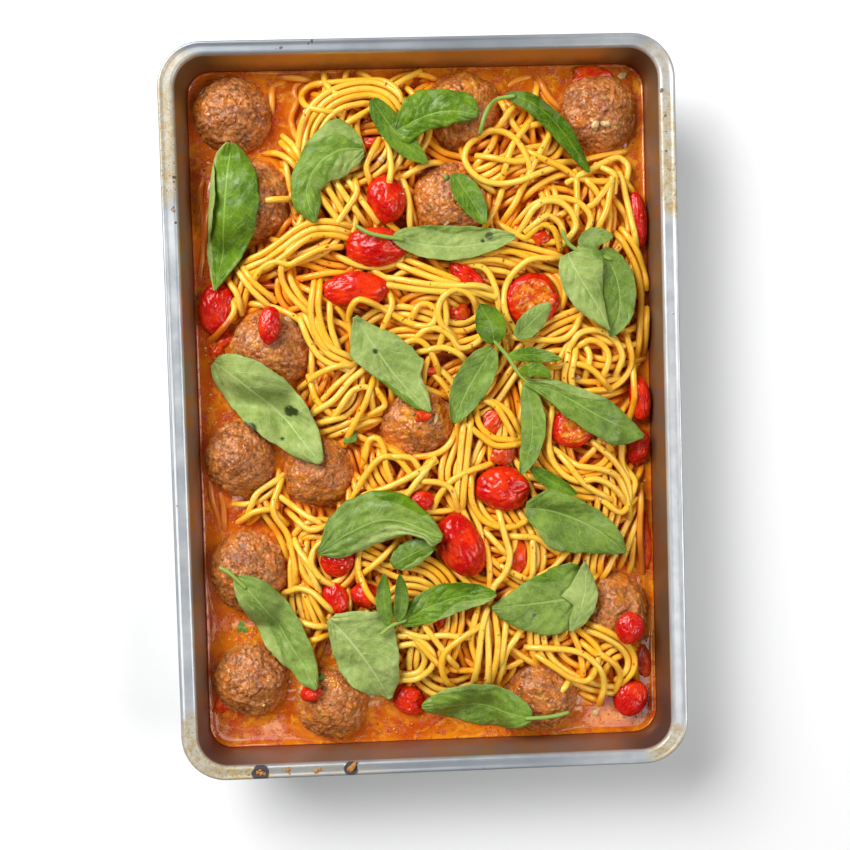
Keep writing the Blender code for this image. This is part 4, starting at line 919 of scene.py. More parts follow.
# Baked spots on the tray's flange: x, y, radius, strength
BURNT_SPOTS = (
    (-80.0, -162.2, 3.9, 1.0), (-39.0, -161.8, 3.3, 1.0), (-68.0, -161.5, 0.9, 0.5),
    (-55.0, -162.0, 0.8, 0.5), (21.0, -164.0, 0.6, 0.4), (-113.0, -40.0, 0.5, 0.4), (112.0, 40.0, 0.6, 0.5),
    (-109.6, 92.0, 0.7, 0.8), (-110.6, 91.2, 0.5, 0.8), (-108.8, 86.0, 0.7, 0.9), (-109.2, 106.0, 0.8, 0.9),
    (-109.0, 103.5, 0.5, 0.9), (110.0, 128.0, 0.7, 0.8), (110.4, 121.0, 0.5, 0.8), (110.2, 112.0, 0.6, 0.8),
    (109.0, 139.0, 0.8, 0.8), (-46.0, 163.6, 0.8, 0.8), (-48.0, 162.6, 0.5, 0.8), (-60.0, 161.5, 0.8, 0.8),
    (-62.0, 161.0, 0.4, 0.8),
)

# Tan baked film on the flange: x, y, half length x, half length y, strength
TAN_FILMS = (
    (-113.0, 122.0, 9.0, 30.0, 0.78), (-104.0, 152.0, 12.0, 10.0, 0.5), (113.0, 96.0, 6.0, 14.0, 0.95),
    (110.5, 118.0, 5.0, 24.0, 0.7), (104.0, 150.0, 10.0, 12.0, 0.4), (-107.0, -152.0, 14.0, 20.0, 0.8),
    (106.0, -156.0, 13.0, 10.0, 0.7), (-92.0, -164.0, 20.0, 6.0, 0.9), (-60.0, -164.0, 42.0, 5.0, 0.3),
)


# Mean push of the wavy places in which the stains are measured
WAVY_SHIFT = 1.2


def flange_stains(made, z):
    """How strong the tan films and the burnt spots are at each place of the flange."""
    wavy = made.wavy(made.vector_math("MULTIPLY", made.place, (1.0, 1.0, 0.0)), 4.0, 2 * WAVY_SHIFT)
    stain = 0.0
    for centre_x, centre_y, radius, strength in BURNT_SPOTS:
        away = made.vector_math("DISTANCE", wavy, (centre_x + WAVY_SHIFT, centre_y + WAVY_SHIFT, WAVY_SHIFT))
        spot = made.times(made.step(away, radius * 1.08, radius * 0.88), strength)
        stain = made.most(stain, spot)
    film = 0.0
    for centre_x, centre_y, reach_x, reach_y, strength in TAN_FILMS:
        moved = made.vector_math("SUBTRACT", wavy, (centre_x + WAVY_SHIFT, centre_y + WAVY_SHIFT, WAVY_SHIFT))
        share = made.vector_math("LENGTH",
                                 made.vector_math("MULTIPLY", moved, (1 / reach_x, 1 / reach_y, 0.0)))
        film = made.most(film, made.times(made.step(share, 1.10, 0.75), strength))
    on_rim = made.step(z, 42.6, 43.6)
    return made.times(film, on_rim), made.times(stain, on_rim)


def wall_colour(made, x, y, z, on_wall):
    """Inner walls: brown film with drips and sauce baked on lowest down; painted reflections of the food on
    the top and bottom walls, painted shade on the right wall and darkest in the corners as painted shade.
    """
    tide = made.plus(z, made.times(made.noise(11.0, 4.0, 0.6), -10.0))
    crust = made.times(made.step(tide, 31.0, 19.0), on_wall)
    run_down = made.vector_math("MULTIPLY", made.place, (1.0, 1.0, 0.35))
    drips = made.step(made.noise(7.0, 4.0, 0.65, at=run_down), 0.42, 0.62)
    wall = made.mix(drips, (0.300, 0.240, 0.175), (0.420, 0.220, 0.060))
    corner = made.step(made.plus(made.size(x), made.size(y)), 235.0, 256.0)
    # painted reflection: the top wall painted bright orange, as if it mirrored the food
    wall = made.over(wall, made.step(y, 120.0, 150.0), 0.80, (0.700, 0.360, 0.045))
    # painted shade: the right wall painted darker, and darker still between y -20 and -90
    wall = made.over(wall, made.step(x, 92.0, 104.0), 0.55, (0.170, 0.090, 0.042))
    painted_shade_low_right = made.times(made.step(x, 92.0, 104.0), made.step(y, -20.0, -90.0))
    wall = made.over(wall, painted_shade_low_right, 0.50, (0.120, 0.058, 0.026))
    # painted reflection: the bottom wall painted pinkish brown, as if it mirrored the sauce
    wall = made.over(wall, made.step(y, -120.0, -150.0), 0.60, (0.230, 0.115, 0.090))
    # painted shade: the corners of the walls painted near black
    wall = made.over(wall, corner, 0.70, (0.070, 0.045, 0.040))
    return made.over(wall, crust, 0.8, (0.240, 0.070, 0.016))


def tray_finish():
    """Worn sheet metal: drawn streaks, baked stains on the rim, sauce baked on to the walls; painted light
    and shade on the flange's right side, ends and rolled edge, and on the walls.
    """
    made = Finish("tray_worn_metal", 0.34)
    x, y, z = made.axes(made.place)
    film, stain = flange_stains(made, z)
    patchy = made.step(made.noise(4.5, 5.0, 0.7), 0.40, 0.60)
    grains = made.step(made.noise(1.3, 4.0, 0.75), 0.52, 0.60)
    dots = made.noise(1.1, 3.0, 0.7, at=made.vector_math("ADD", made.place, (9.0, 4.0, 2.0)))
    specks = made.most(made.step(dots, 0.69, 0.73), made.times(film, made.step(dots, 0.60, 0.66)))
    streak = made.noise(1.2, 3.0, 0.6, at=made.vector_math("MULTIPLY", made.place, (0.12, 0.12, 3.0)))
    dull = made.noise(22.0, 4.0, 0.6)
    # painted shade: the flange painted darker along both ends, less so to the right
    ends = made.step(made.size(y), 157.0, 161.0)
    metal = made.mix(made.step(dull, 0.35, 0.70), (0.54, 0.57, 0.60), (0.68, 0.70, 0.71))
    # painted light: the right side of the flange painted brighter
    metal = made.over(metal, made.step(x, 100.0, 109.0), 0.45, (0.86, 0.87, 0.88))
    painted_end_shade_strength = made.minus(0.80, made.times(made.step(x, 40.0, 85.0), 0.45))
    metal = made.over(metal, ends, painted_end_shade_strength, (0.29, 0.32, 0.36))
    metal = made.over(metal, made.step(streak, 0.40, 0.62), 0.25, (0.36, 0.38, 0.41))
    metal = made.over(metal, film, 0.70, (0.52, 0.45, 0.27))
    metal = made.over(metal, made.times(film, patchy), 0.75, (0.46, 0.30, 0.09))
    metal = made.over(metal, made.times(film, grains), 0.55, (0.33, 0.22, 0.05))
    dotted = made.times(specks, made.plus(made.times(film, 0.8), 0.18))
    metal = made.mix(dotted, metal, (0.09, 0.06, 0.02))
    metal = made.mix(stain, metal, (0.055, 0.048, 0.050))
    # painted shade: the outward face of the rolled edge painted dark
    metal = made.over(metal, made.stored("outer"), 0.8, (0.13, 0.13, 0.14))
    on_wall = made.step(z, 43.4, 41.8)
    inner = made.mix(on_wall, metal, wall_colour(made, x, y, z, on_wall))
    inside = made.step(made.stored("inside"), 0.4, 0.6)
    made.end("Base Color", made.mix(inside, metal, inner))
    coated = made.most(film, stain)
    coated = made.most(coated, made.times(made.times(on_wall, inside), 0.45))
    made.end("Metallic", made.math("SUBTRACT", 0.55, made.times(coated, 0.50), clamp=True))
    made.end("Roughness", made.plus(made.times(dull, 0.25), made.plus(0.26, made.times(stain, 0.4))))
    made.relief((made.noise(14.0, 2.0), 0.3, 0.5), (streak, 0.12, 0.06), (dotted, 0.5, 0.12),
                (stain, 0.7, 0.3))
    return made.material


# Tray and sauce


def fine_ring(half_x, half_y, corner, z):
    """Points of a rounded rectangle, counter-clockwise, with steps along its straight sides."""
    corner = max(corner, 0.3)
    points = []
    quarter = math.pi / 2
    signs = ((1, 1), (-1, 1), (-1, -1), (1, -1))
    for index, (sign_x, sign_y) in enumerate(signs):
        centre_x = sign_x * (half_x - corner)
        centre_y = sign_y * (half_y - corner)
        for step in range(CORNER_STEPS + 1):
            angle = quarter * index + quarter * step / CORNER_STEPS
            points.append((centre_x + corner * math.cos(angle), centre_y + corner * math.sin(angle), z))
        next_x, next_y = signs[(index + 1) % 4]
        angle = quarter * (index + 1)
        start = points[-1]
        end = (next_x * (half_x - corner) + corner * math.cos(angle),
               next_y * (half_y - corner) + corner * math.sin(angle))
        steps = SIDE_STEPS_X if index % 2 == 0 else SIDE_STEPS_Y
        for step in range(1, steps):
            share = step / steps
            points.append((start[0] + (end[0] - start[0]) * share, start[1] + (end[1] - start[1]) * share, z))
    return np.array(points)


def wall_ring(z, outward):
    """Ring that follows the sloping inner wall at height z, moved outward by some millimetres."""
    inset = (FLANGE_TOP - z) * WALL_SLOPE - outward
    return fine_ring(OPENING_HALF_X - inset, OPENING_HALF_Y - inset, OPENING_CORNER - inset, z)


def rim_ring(inward, z):
    return fine_ring(RIM_HALF_X - inward, RIM_HALF_Y - inward, RIM_CORNER - inward, z)


def skin_rings(rings):
    """Closed skin over rings of equal length, with flat caps."""
    size = len(rings[0])
    points = np.concatenate(rings)
    faces = [tuple(range(size)), tuple(range(len(points) - size, len(points)))]
    for row in range(len(rings) - 1):
        for col in range(size):
            nxt = (col + 1) % size
            faces.append((row * size + col, row * size + nxt, (row + 1) * size + nxt, (row + 1) * size + col))
    return points, faces


def build_tray(finish):
    inner = [wall_ring(SHEET, -30.0), wall_ring(SHEET, -5.0), wall_ring(SHEET + 0.25, -2.8),
             wall_ring(SHEET + 0.9, -1.5), wall_ring(SHEET + 2.0, -0.5), wall_ring(SHEET + 3.6, 0.0)]
    inner += [wall_ring(z, 0.0) for z in np.linspace(SHEET + 7.0, FLANGE_TOP - 2.2, 16)]
    inner += [wall_ring(FLANGE_TOP - 1.5, 0.02), wall_ring(FLANGE_TOP - 0.9, 0.12),
              wall_ring(FLANGE_TOP - 0.4, 0.38)]
    turned = fine_ring(OPENING_HALF_X + 1.0, OPENING_HALF_Y + 1.0, OPENING_CORNER + 1.0, FLANGE_TOP)
    bead = rim_ring(2.8, FLANGE_TOP)
    flange = [turned + (bead - turned) * share for share in (0.0, 0.25, 0.5, 0.75, 1.0)]
    rim = [rim_ring(inward, z) for inward, z in (
        (2.2, FLANGE_TOP + 0.05), (1.8, 44.7), (1.4, 44.93), (1.0, RIM_TOP), (0.6, 44.9), (0.25, 44.55),
        (0.04, 44.0), (0.0, 43.2), (0.0, 42.0), (0.08, 41.5), (0.35, 41.1), (0.8, LIP_BOTTOM), (1.2, 41.05),
        (1.5, 41.6), (1.6, FLANGE_TOP - SHEET))]
    under = [fine_ring(OPENING_HALF_X + 1.4, OPENING_HALF_Y + 1.4, OPENING_CORNER + 1.4, FLANGE_TOP - SHEET)]
    under += [wall_ring(z, SHEET) for z in np.linspace(FLANGE_TOP - 3.2, SHEET + 2.6, 8)]
    under += [wall_ring(1.6, SHEET - 0.6), wall_ring(0.7, -0.9), wall_ring(0.15, -2.4), wall_ring(0.0, -4.0),
              wall_ring(0.0, -30.0)]
    rings = inner + flange + rim + under
    points, faces = skin_rings(rings)
    size = len(rings[0])
    inside = np.zeros(len(points))
    inside[:size * len(inner)] = 1.0
    # the outward face of the rolled edge, which the material paints dark as painted shade
    outer = np.zeros(len(points))
    first = len(inner) + len(flange) + BEAD_OUTER
    outer[size * first:size * (len(inner) + len(flange) + len(rim))] = 1.0
    tray = add_mesh("tray_finished", points, faces, finish, {"inside": inside, "outer": outer})
    turn_outward(tray)
    serve(tray, "tray_metal", "tray")


def build_sauce(finish):
    low = SHEET + GAP
    rings = [wall_ring(low, -40.0), wall_ring(low, -5.5), wall_ring(low + 3.6, -GAP),
             wall_ring(SAUCE_TOP - 1.0, -0.1)]
    half_x, half_y = wall_ring(SAUCE_TOP, -0.1).max(axis=0)[:2]
    corner = OPENING_CORNER - (FLANGE_TOP - SAUCE_TOP) * WALL_SLOPE
    for inset in (np.linspace(0.0, 1.0, SAUCE_RINGS) ** 1.25) * (half_x - 1.5):
        ring = fine_ring(half_x - inset, half_y - inset, corner - inset, SAUCE_TOP)
        ring[:, 2] += sauce_swell(ring, inset)
        rings.append(ring)
    points, faces = skin_rings(rings)
    sauce = add_mesh("sauce_surface", points, faces, finish)
    turn_outward(sauce)
    serve(sauce, "tomato_sauce", "sauce")


def sauce_swell(ring, inset):
    """Height of the sauce above its level: slow waves, and a rim drawn up walls and meatballs."""
    flat = ring * (1.0, 1.0, 0.0)
    rise = 0.24 * rough(flat, 15.0, 1.0) + 0.07 * rough(flat, 5.0, 2.0) + 0.9 * math.exp(-inset / 0.9)
    for centre_x, centre_y, half_x, half_y in MEATBALLS:
        share = np.hypot((ring[:, 0] - centre_x) / half_x, (ring[:, 1] - centre_y) / half_y)
        rise += 1.1 * np.exp(-np.clip(share - 0.97, 0.0, None) * half_x / 1.5)
    return rise


# Meatballs and tomatoes


def crumb_tree(finish):
    """Geometry Nodes that roughen a smooth ball into ground meat."""
    made = Growth("ground_meat", "Ball", "Meatball", (
        "Crumb size", "Crumb height", "Grain size", "Grain height", "Fibre size", "Fibre height", "Seed"))
    given = made.given
    place = made.node("GeometryNodeInputPosition").outputs[0]

    def pattern(kind, size, plugs, **settings):
        rate = made.math("DIVIDE", 1.0 / MM, given[size])
        return made.node(kind, {"Vector": place, "Scale": rate, "W": given["Seed"], **plugs},
                         **settings).outputs

    coarse = pattern("ShaderNodeTexNoise", "Crumb size", {"Detail": 4.0, "Roughness": 0.62},
                     noise_dimensions="4D")
    fibres = pattern("ShaderNodeTexNoise", "Fibre size", {"Detail": 1.5, "Distortion": 0.5},
                     noise_dimensions="4D")
    grain = pattern("ShaderNodeTexVoronoi", "Grain size", {}, voronoi_dimensions="4D")["Distance"]
    swell = made.times(made.minus(coarse["Fac"], 0.5), given["Crumb height"])
    bead = made.times(made.minus(0.42, grain), given["Grain height"])
    fibre = made.math("MINIMUM", made.times(made.size(made.minus(fibres["Fac"], 0.5)), 10.0), 1.0)
    strand = made.times(made.minus(fibre, 0.7), given["Fibre height"])
    height = made.times(made.plus(made.plus(swell, bead), strand), MM)
    # how deep in the clefts each point lies; the material paints it dark as painted shade
    hollow = made.most(made.times(made.minus(1.0, fibre), 0.8), made.times(made.minus(grain, 0.25), 0.9))
    keep = made.node("GeometryNodeStoreNamedAttribute",
                     {"Geometry": given["Ball"], "Name": "hollow", "Value": hollow},
                     data_type="FLOAT", domain="POINT")
    outward = made.vector_math("SCALE", made.node("GeometryNodeInputNormal").outputs[0], scale=height)
    move = made.node("GeometryNodeSetPosition", {"Geometry": keep.outputs[0], "Offset": outward})
    return made.close(move.outputs[0], finish)


def grow(obj, tree, **values):
    """Runs a tree on an object with its named inputs and keeps the result as a plain mesh."""
    modifier = obj.modifiers.new(tree.name, "NODES")
    modifier.node_group = tree
    wanted = {key.replace("_", " ").lower(): value for key, value in values.items()}
    for item in tree.interface.items_tree:
        if item.item_type == "SOCKET" and item.in_out == "INPUT" and item.name.lower() in wanted:
            modifier[item.identifier] = wanted[item.name.lower()]
    obj.update_tag()
    graph = bpy.context.evaluated_depsgraph_get()
    result = bpy.data.meshes.new_from_object(obj.evaluated_get(graph))
    obj.modifiers.remove(modifier)
    old = obj.data
    obj.data = result
    bpy.data.meshes.remove(old)


# Share of sauce on each meatball, in their order
MEATBALL_SAUCE = (0.25, 0.45, 0.85, 0.55, 0.35, 0.55, 0.30, 0.60, 0.95, 0.35, 0.45, 0.70, 0.60, 0.60)


def build_meatballs(finish):
    unit, faces = even_ball(6, finer_above=0.14)
    tree = crumb_tree(finish)
    centre_z = MEATBALL_BASE + MEATBALL_HALF_Z
    for number, (centre_x, centre_y, half_x, half_y) in enumerate(MEATBALLS, start=1):
        factor = lumps(number, unit, 0.07)[:, None]
        halves = (half_x * MEATBALL_WIDEN, half_y * MEATBALL_WIDEN, MEATBALL_HALF_Z)
        points = unit * factor * halves + (centre_x, centre_y, centre_z)
        share = MEATBALL_SAUCE[number - 1]
        low = np.clip((30.0 - points[:, 2]) / 7.0, 0.0, 1.0)
        patch = np.clip(0.55 + 1.8 * rough(points, 10.0, number) + (share - 0.5) * 1.6, 0.0, 1.0)
        ball = add_mesh("meatball_crust_%02d" % number, points, faces, finish,
                        {"sauced": np.clip(low + patch * share, 0.0, 1.0)})
        grow(ball, tree, crumb_size=7.5, crumb_height=5.0, grain_size=2.6, grain_height=0.9,
             fibre_size=3.4, fibre_height=0.22, seed=float(number))
        serve(ball, "meatball_crust", "meatball_%02d" % number)


class HeightMap:
    """Square cells over the whole tray."""

    def __init__(self, cell):
        self.cell = cell
        self.axis_x = np.linspace(-MAP_HALF_X, MAP_HALF_X, int(2 * MAP_HALF_X / cell) + 1)
        self.axis_y = np.linspace(-MAP_HALF_Y, MAP_HALF_Y, int(2 * MAP_HALF_Y / cell) + 1)
        self.x, self.y = np.meshgrid(self.axis_x, self.axis_y)

    def cells(self, x, y):
        """Row and column of the cell under each point."""
        col = np.clip(np.rint((x + MAP_HALF_X) / self.cell).astype(int), 0, len(self.axis_x) - 1)
        row = np.clip(np.rint((y + MAP_HALF_Y) / self.cell).astype(int), 0, len(self.axis_y) - 1)
        return row, col


class Relief(HeightMap):
    """Height map of everything laid so far."""

    def __init__(self):
        super().__init__(CELL)
        self.z = np.full(self.x.shape, SAUCE_TOP)
        self.roof = np.full(self.x.shape, FAR)

    def raise_to(self, height, where):
        self.z = np.where(where, np.maximum(self.z, height), self.z)

    def add_ball(self, centre_x, centre_y, centre_z, half_x, half_y, half_z):
        share = ((self.x - centre_x) / half_x) ** 2 + ((self.y - centre_y) / half_y) ** 2
        self.raise_to(centre_z + half_z * np.sqrt(np.clip(1 - share, 0, 1)), share < 1)

    def add_points(self, points, under):
        np.maximum.at(self.z, self.cells(*points.T[:2]), points[:, 2])
        np.minimum.at(self.roof, self.cells(*under.T[:2]), under[:, 2])

    def cover(self):
        """Smooth sheet that lies just above the map."""
        wide = self.z
        for axis in (0, 1):
            layers = [np.roll(wide, shift, axis) for shift in range(-DRAPE_REACH, DRAPE_REACH + 1)]
            wide = np.max(layers, axis=0)
        weights = [math.exp(-(shift / 2.6) ** 2) for shift in range(-DRAPE_REACH, DRAPE_REACH + 1)]
        for axis in (0, 1):
            layers = [np.roll(wide, shift - DRAPE_REACH, axis) * weight
                      for shift, weight in enumerate(weights)]
            wide = np.sum(layers, axis=0) / sum(weights)
        return wide

    def sample(self, sheet, x, y):
        """Height of a sheet between its cells."""
        col = np.clip((np.asarray(x) + MAP_HALF_X) / CELL, 0, len(self.axis_x) - 1.001)
        row = np.clip((np.asarray(y) + MAP_HALF_Y) / CELL, 0, len(self.axis_y) - 1.001)
        col0 = col.astype(int)
        row0 = row.astype(int)
        fx = col - col0
        fy = row - row0
        low = sheet[row0, col0] * (1 - fx) + sheet[row0, col0 + 1] * fx
        high = sheet[row0 + 1, col0] * (1 - fx) + sheet[row0 + 1, col0 + 1] * fx
        return low * (1 - fy) + high * fy


def tomato_points(entry, relief, ground, middle_z, unit):
    """Points of a slack tomato, and how far each one is open or creased."""
    name, centre_x, centre_y, half_long, half_wide, degrees, half_high, dish = entry
    cos_turn = math.cos(math.radians(degrees))
    sin_turn = math.sin(math.radians(degrees))
    seed = len(name) + centre_x
    x, y, z = unit.T
    factor = lumps(seed, unit, 0.12)
    folds = 1.0 - np.abs(rough(unit * (1.0, 2.6, 1.6), 0.55, seed))
    crease = np.clip((folds - 0.80) / 0.20, 0.0, 1.0) ** 1.6
    dimple = rough(unit, 0.8, seed + 3.0)
    radius = np.hypot(x, y)
    hollow = dish * np.clip(1 - (radius / 0.8) ** 2, 0.0, None)
    is_open = np.clip((0.78 - radius) / 0.08, 0.0, 1.0) * (z > 0) if dish else np.zeros(len(x))
    push = 1.0 - crease * 0.05 * (1 - is_open) + 0.06 * dimple
    px = centre_x + (half_long * x * cos_turn - half_wide * y * sin_turn) * factor * push
    py = centre_y + (half_long * x * sin_turn + half_wide * y * cos_turn) * factor * push
    pulp = is_open * (0.9 * rough(unit, 0.16, seed) + 0.7 * rough(unit, 0.4, seed + 8.0))
    above = middle_z + half_high * z * factor * (1 - hollow) * (1 - 0.13 * crease + 0.20 * dimple) + pulp
    floor = relief.sample(ground, px, py) + GAP + 0.3
    below = np.maximum(middle_z + TOMATO_SKIRT * z, np.minimum(floor, middle_z - 0.2))
    return np.column_stack((px, py, np.where(z >= 0, above, below))), is_open, crease


def build_tomato(entry, relief, finish, ball):
    """One tomato on what lies under it; gives the top and underside of its solid middle in each cell."""
    name, centre_x, centre_y, half_long, half_wide, degrees, half_high, _ = entry
    cos_turn = math.cos(math.radians(degrees))
    sin_turn = math.sin(math.radians(degrees))
    local_x = (relief.x - centre_x) * cos_turn + (relief.y - centre_y) * sin_turn
    local_y = (relief.y - centre_y) * cos_turn - (relief.x - centre_x) * sin_turn
    share = (local_x / (half_long + GAP)) ** 2 + (local_y / (half_wide + GAP)) ** 2
    footprint = share < 1
    middle_z = relief.z[footprint].max() + GAP + 0.5
    wide = np.max([np.roll(np.roll(relief.z, a, 0), b, 1) for a in (-2, 0, 2) for b in (-2, 0, 2)], axis=0)
    unit, faces = ball
    points, is_open, crease = tomato_points(entry, relief, wide, middle_z, unit)
    piece = add_mesh("roasted_" + name, points, faces, finish, {"open": is_open, "crease": crease})
    turn_outward(piece)
    serve(piece, "tomato_skin", name)
    top = middle_z + half_high * np.sqrt(np.clip(1 - share, 0, 1))
    under = np.where(footprint, np.maximum(middle_z - TOMATO_SKIRT * np.sqrt(np.clip(1 - share, 0, 1)),
                                           np.minimum(wide + GAP + 0.3, middle_z - 0.2)), FAR)
    relief.raise_to(top, footprint)
    shrunk = (local_x / (half_long - TOMATO_EDGE)) ** 2 + (local_y / (half_wide - TOMATO_EDGE)) ** 2 < 1
    return np.where(shrunk, top, -FAR), np.where(shrunk, under, FAR)


# Basil


def smooth_path(controls, count):
    """Curve through the control points, resampled at even lengths."""
    given = np.array(controls, dtype=float)
    padded = np.vstack((2 * given[0] - given[1], given, 2 * given[-1] - given[-2]))
    dense = []
    for index in range(1, len(padded) - 2):
        before, start, end, after = padded[index - 1:index + 3]
        for t in np.linspace(0, 1, 16, endpoint=False):
            dense.append(0.5 * (2 * start + (end - before) * t
                                + (2 * before - 5 * start + 4 * end - after) * t * t
                                + (3 * start - before - 3 * end + after) * t ** 3))
    dense.append(padded[-2])
    return resample(np.array(dense), count)


def resample(points, count):
    """The same line with that many points at even lengths."""
    lengths = np.concatenate(([0], np.cumsum(np.linalg.norm(np.diff(points, axis=0), axis=1))))
    even = np.linspace(0, lengths[-1], count)
    return np.column_stack([np.interp(even, lengths, points[:, axis]) for axis in range(points.shape[1])])


def sideways(path):
    """Unit direction to the left at each point of a plan line."""
    along = np.gradient(path, axis=0)
    along /= np.maximum(np.linalg.norm(along, axis=1), 1e-6)[:, None]
    return np.column_stack((-along[:, 1], along[:, 0]))


def beside(path, offset):
    """Line at a sideways distance from another."""
    return path + sideways(path) * offset


def length_of(points):
    return float(np.linalg.norm(np.diff(points, axis=0), axis=1).sum())


def blade_profile(u, form):
    """Share of the greatest half width along the blade, from base to tip."""
    power, greatest = form
    return np.power(u, power) * np.power(1 - u, 0.72) / greatest


def half_width(spec, u, left):
    """Half width along a blade on one side: from its own outline where it has one, with eased corners."""
    if not spec["edge"]:
        return (spec["left"] if left else spec["right"]) * blade_profile(u, spec["form"])
    places, lefts, rights = zip(*spec["edge"])
    widths = np.interp(u, places, lefts if left else rights)
    ease = np.array((1.0, 2.0, 3.0, 2.0, 1.0))
    return np.convolve(np.pad(widths, 2, mode="edge"), ease / ease.sum(), mode="valid")


def roll_edge(distance, roll):
    """Turns an edge of a blade up and back over it: sideways place and height."""
    start, radius, degrees = roll
    end = math.radians(degrees)
    turn = np.clip((distance - start) / radius, 0, end)
    rest = np.clip(distance - start - radius * end, 0, None)
    sideways = np.where(distance > start, start + radius * np.sin(turn) + rest * math.cos(end), distance)
    height = np.where(distance > start, radius * (1 - np.cos(turn)) + rest * math.sin(end), 0)
    return sideways, height


def blade_grid(spec, relief, sheet, steps, columns, detail=0.0):
    """Middle surface of a blade draped on the sheet; detail adds quilting and a wavy edge."""
    u = np.linspace(*BLADE_ENDS, steps + 1)
    path = smooth_path(spec["path"], steps + 1)
    side = sideways(path)
    grid = np.zeros((steps + 1, len(columns), 3))
    eased = np.clip(u / 0.3, 0, 1)
    eased = eased * eased * (3 - 2 * eased)
    seed = spec["path"][0][0] * 0.37
    for col, v in enumerate(columns):
        roll = spec["roll_left"] if v > 0 else spec["roll_right"]
        ragged = 0.5 + 0.35 * np.sin(u * 34.0 + seed) + 0.15 * np.sin(u * 83.0 + seed * 3)
        notch = 1.0 - detail * 0.055 * abs(v) ** 8 * ragged
        distance = abs(v) * half_width(spec, u, v > 0) * notch
        height = np.zeros_like(distance)
        if roll:
            distance, height = roll_edge(distance, roll)
        sign = 1 if v > 0 else -1
        x = path[:, 0] + side[:, 0] * distance * sign
        y = path[:, 1] + side[:, 1] * distance * sign
        z = relief.sample(sheet, x, y) + LEAF_CLEAR + spec["seat"] + height
        z += eased * (spec["lift"] + spec["cup"] * v * v + spec["crown"] * (1 - v * v))
        z += spec["tip_up"] * u ** 3
        if detail:
            z += blade_detail(spec, x, y, u, v, seed)
        grid[:, col] = np.column_stack((x, y, z))
    return grid


def blade_detail(spec, x, y, u, v, seed):
    """Small forms of a blade: blisters between the veins, ribs, a wavy edge and parts turned over."""
    scale = min(1.0, (spec["left"] if v > 0 else spec["right"]) / 9.0)
    cell = u * SIDE_VEINS - VEIN_SWEEP * abs(v) ** 1.25
    quilt = np.abs(np.sin(math.pi * (cell + 0.5))) ** 0.7 * min(1.0, abs(v) * 5.0) * (1 - v ** 6)
    place = np.column_stack((x, y, np.full(len(x), seed)))
    blister = 0.5 + 1.3 * rough(place, 5.0, 1.0) + 0.6 * rough(place, 2.2, 2.0)
    height = scale * spec["pucker"] * (quilt * blister * 0.9 - 0.2)
    height += scale * 0.6 * abs(v) ** 3 * np.sin(u * 17.0 + seed + (2.0 if v > 0 else 0.0))
    height += spec["keel"] * abs(v) + spec["ribs"] * np.sin(v * 15.0 + u * 2.0)
    share, _ = turned_part(spec, u, np.full(len(u), v))
    return height + 0.45 * share


def turned_part(spec, u, v):
    """Share of each place on a blade that is an edge turned over, and how pale the blade is there."""
    share = np.zeros(len(u))
    pale = np.full(len(u), spec["pale"])
    for side, inner, start, end, shade in spec["turned"]:
        width = np.sin(math.pi * np.clip((u - start) / (end - start), 0.0, 1.0)) ** 0.6
        border = 1.04 - (1.04 - inner) * width + 0.04 * np.sin(u * 23.0 + inner * 9.0)
        over = np.clip((v * side - border) / 0.05 + 0.5, 0.0, 1.0)
        share = np.maximum(share, over)
        pale = pale * (1 - over) + shade * over
    return share, pale


def grid_normals(grid):
    normals = np.cross(np.gradient(grid, axis=1), np.gradient(grid, axis=0))
    normals /= np.linalg.norm(normals, axis=2)[:, :, None]
    middle = normals[:, normals.shape[1] // 2, 2].mean()
    return normals if middle > 0 else -normals


def blade_skin(grid):
    """Closed thin skin round a grid: points and faces."""
    rows, cols = grid.shape[:2]
    rim = 1.0 - 0.6 * np.abs(np.linspace(-1, 1, cols)) ** 6
    offset = grid_normals(grid) * (LEAF_SHOWN / 2) * rim[None, :, None]
    points = np.concatenate(((grid + offset).reshape(-1, 3), (grid - offset).reshape(-1, 3)))
    return points, slab_faces(rows, cols)


def round_rod(path, radius, sides):
    """Closed round rod along a path of 3-D points; its ends taper."""
    rings = []
    side = None
    count = len(path)
    for index, here in enumerate(path):
        along = Vector(path[min(index + 1, count - 1)] - path[max(index - 1, 0)]).normalized()
        if side is None:
            side = along.cross(Vector((0, 0, 1))).normalized()
        side = (side - along * side.dot(along)).normalized()
        up = side.cross(along)
        taper = radius * (0.55 if index in (0, count - 1) else 1.0)
        rings.append([Vector(here) + (side * math.cos(a) + up * math.sin(a)) * taper
                      for a in np.linspace(0, 2 * math.pi, sides, endpoint=False)])
    return skin_rings([np.array(ring) for ring in rings])


# Dark marks on leaves: x, y, radius
LEAF_MARKS = (
    (-80.0, -7.0, 2.9), (-82.5, -5.0, 1.7), (-62.5, 0.5, 2.6), (-60.0, 0.0, 1.8), (-66.0, -12.0, 0.9),
    (-22.5, 26.5, 1.2), (30.5, 77.0, 1.8), (27.5, 75.0, 0.9), (-93.0, -78.5, 1.0), (46.5, -96.0, 0.9),
)


def blemishes(points):
    """Share of dark mark at each point of a leaf."""
    dark = np.zeros(len(points))
    for centre_x, centre_y, radius in LEAF_MARKS:
        away = np.hypot(points[:, 0] - centre_x, points[:, 1] - centre_y)
        dark = np.maximum(dark, np.clip((radius - away) / 0.5 + 0.5, 0.0, 1.0))
    return dark


class Joined:
    """Skins of one sprig, joined in one mesh."""

    def __init__(self):
        self.points, self.faces, self.uvs, self.looks = ([] for _ in range(4))
        self.total = 0

    def add(self, skin, uv, looks):
        points, faces = skin
        self.faces += [tuple(index + self.total for index in face) for face in faces]
        self.total += len(points)
        self.points.append(points)
        self.uvs.append(uv)
        self.looks.append(looks)


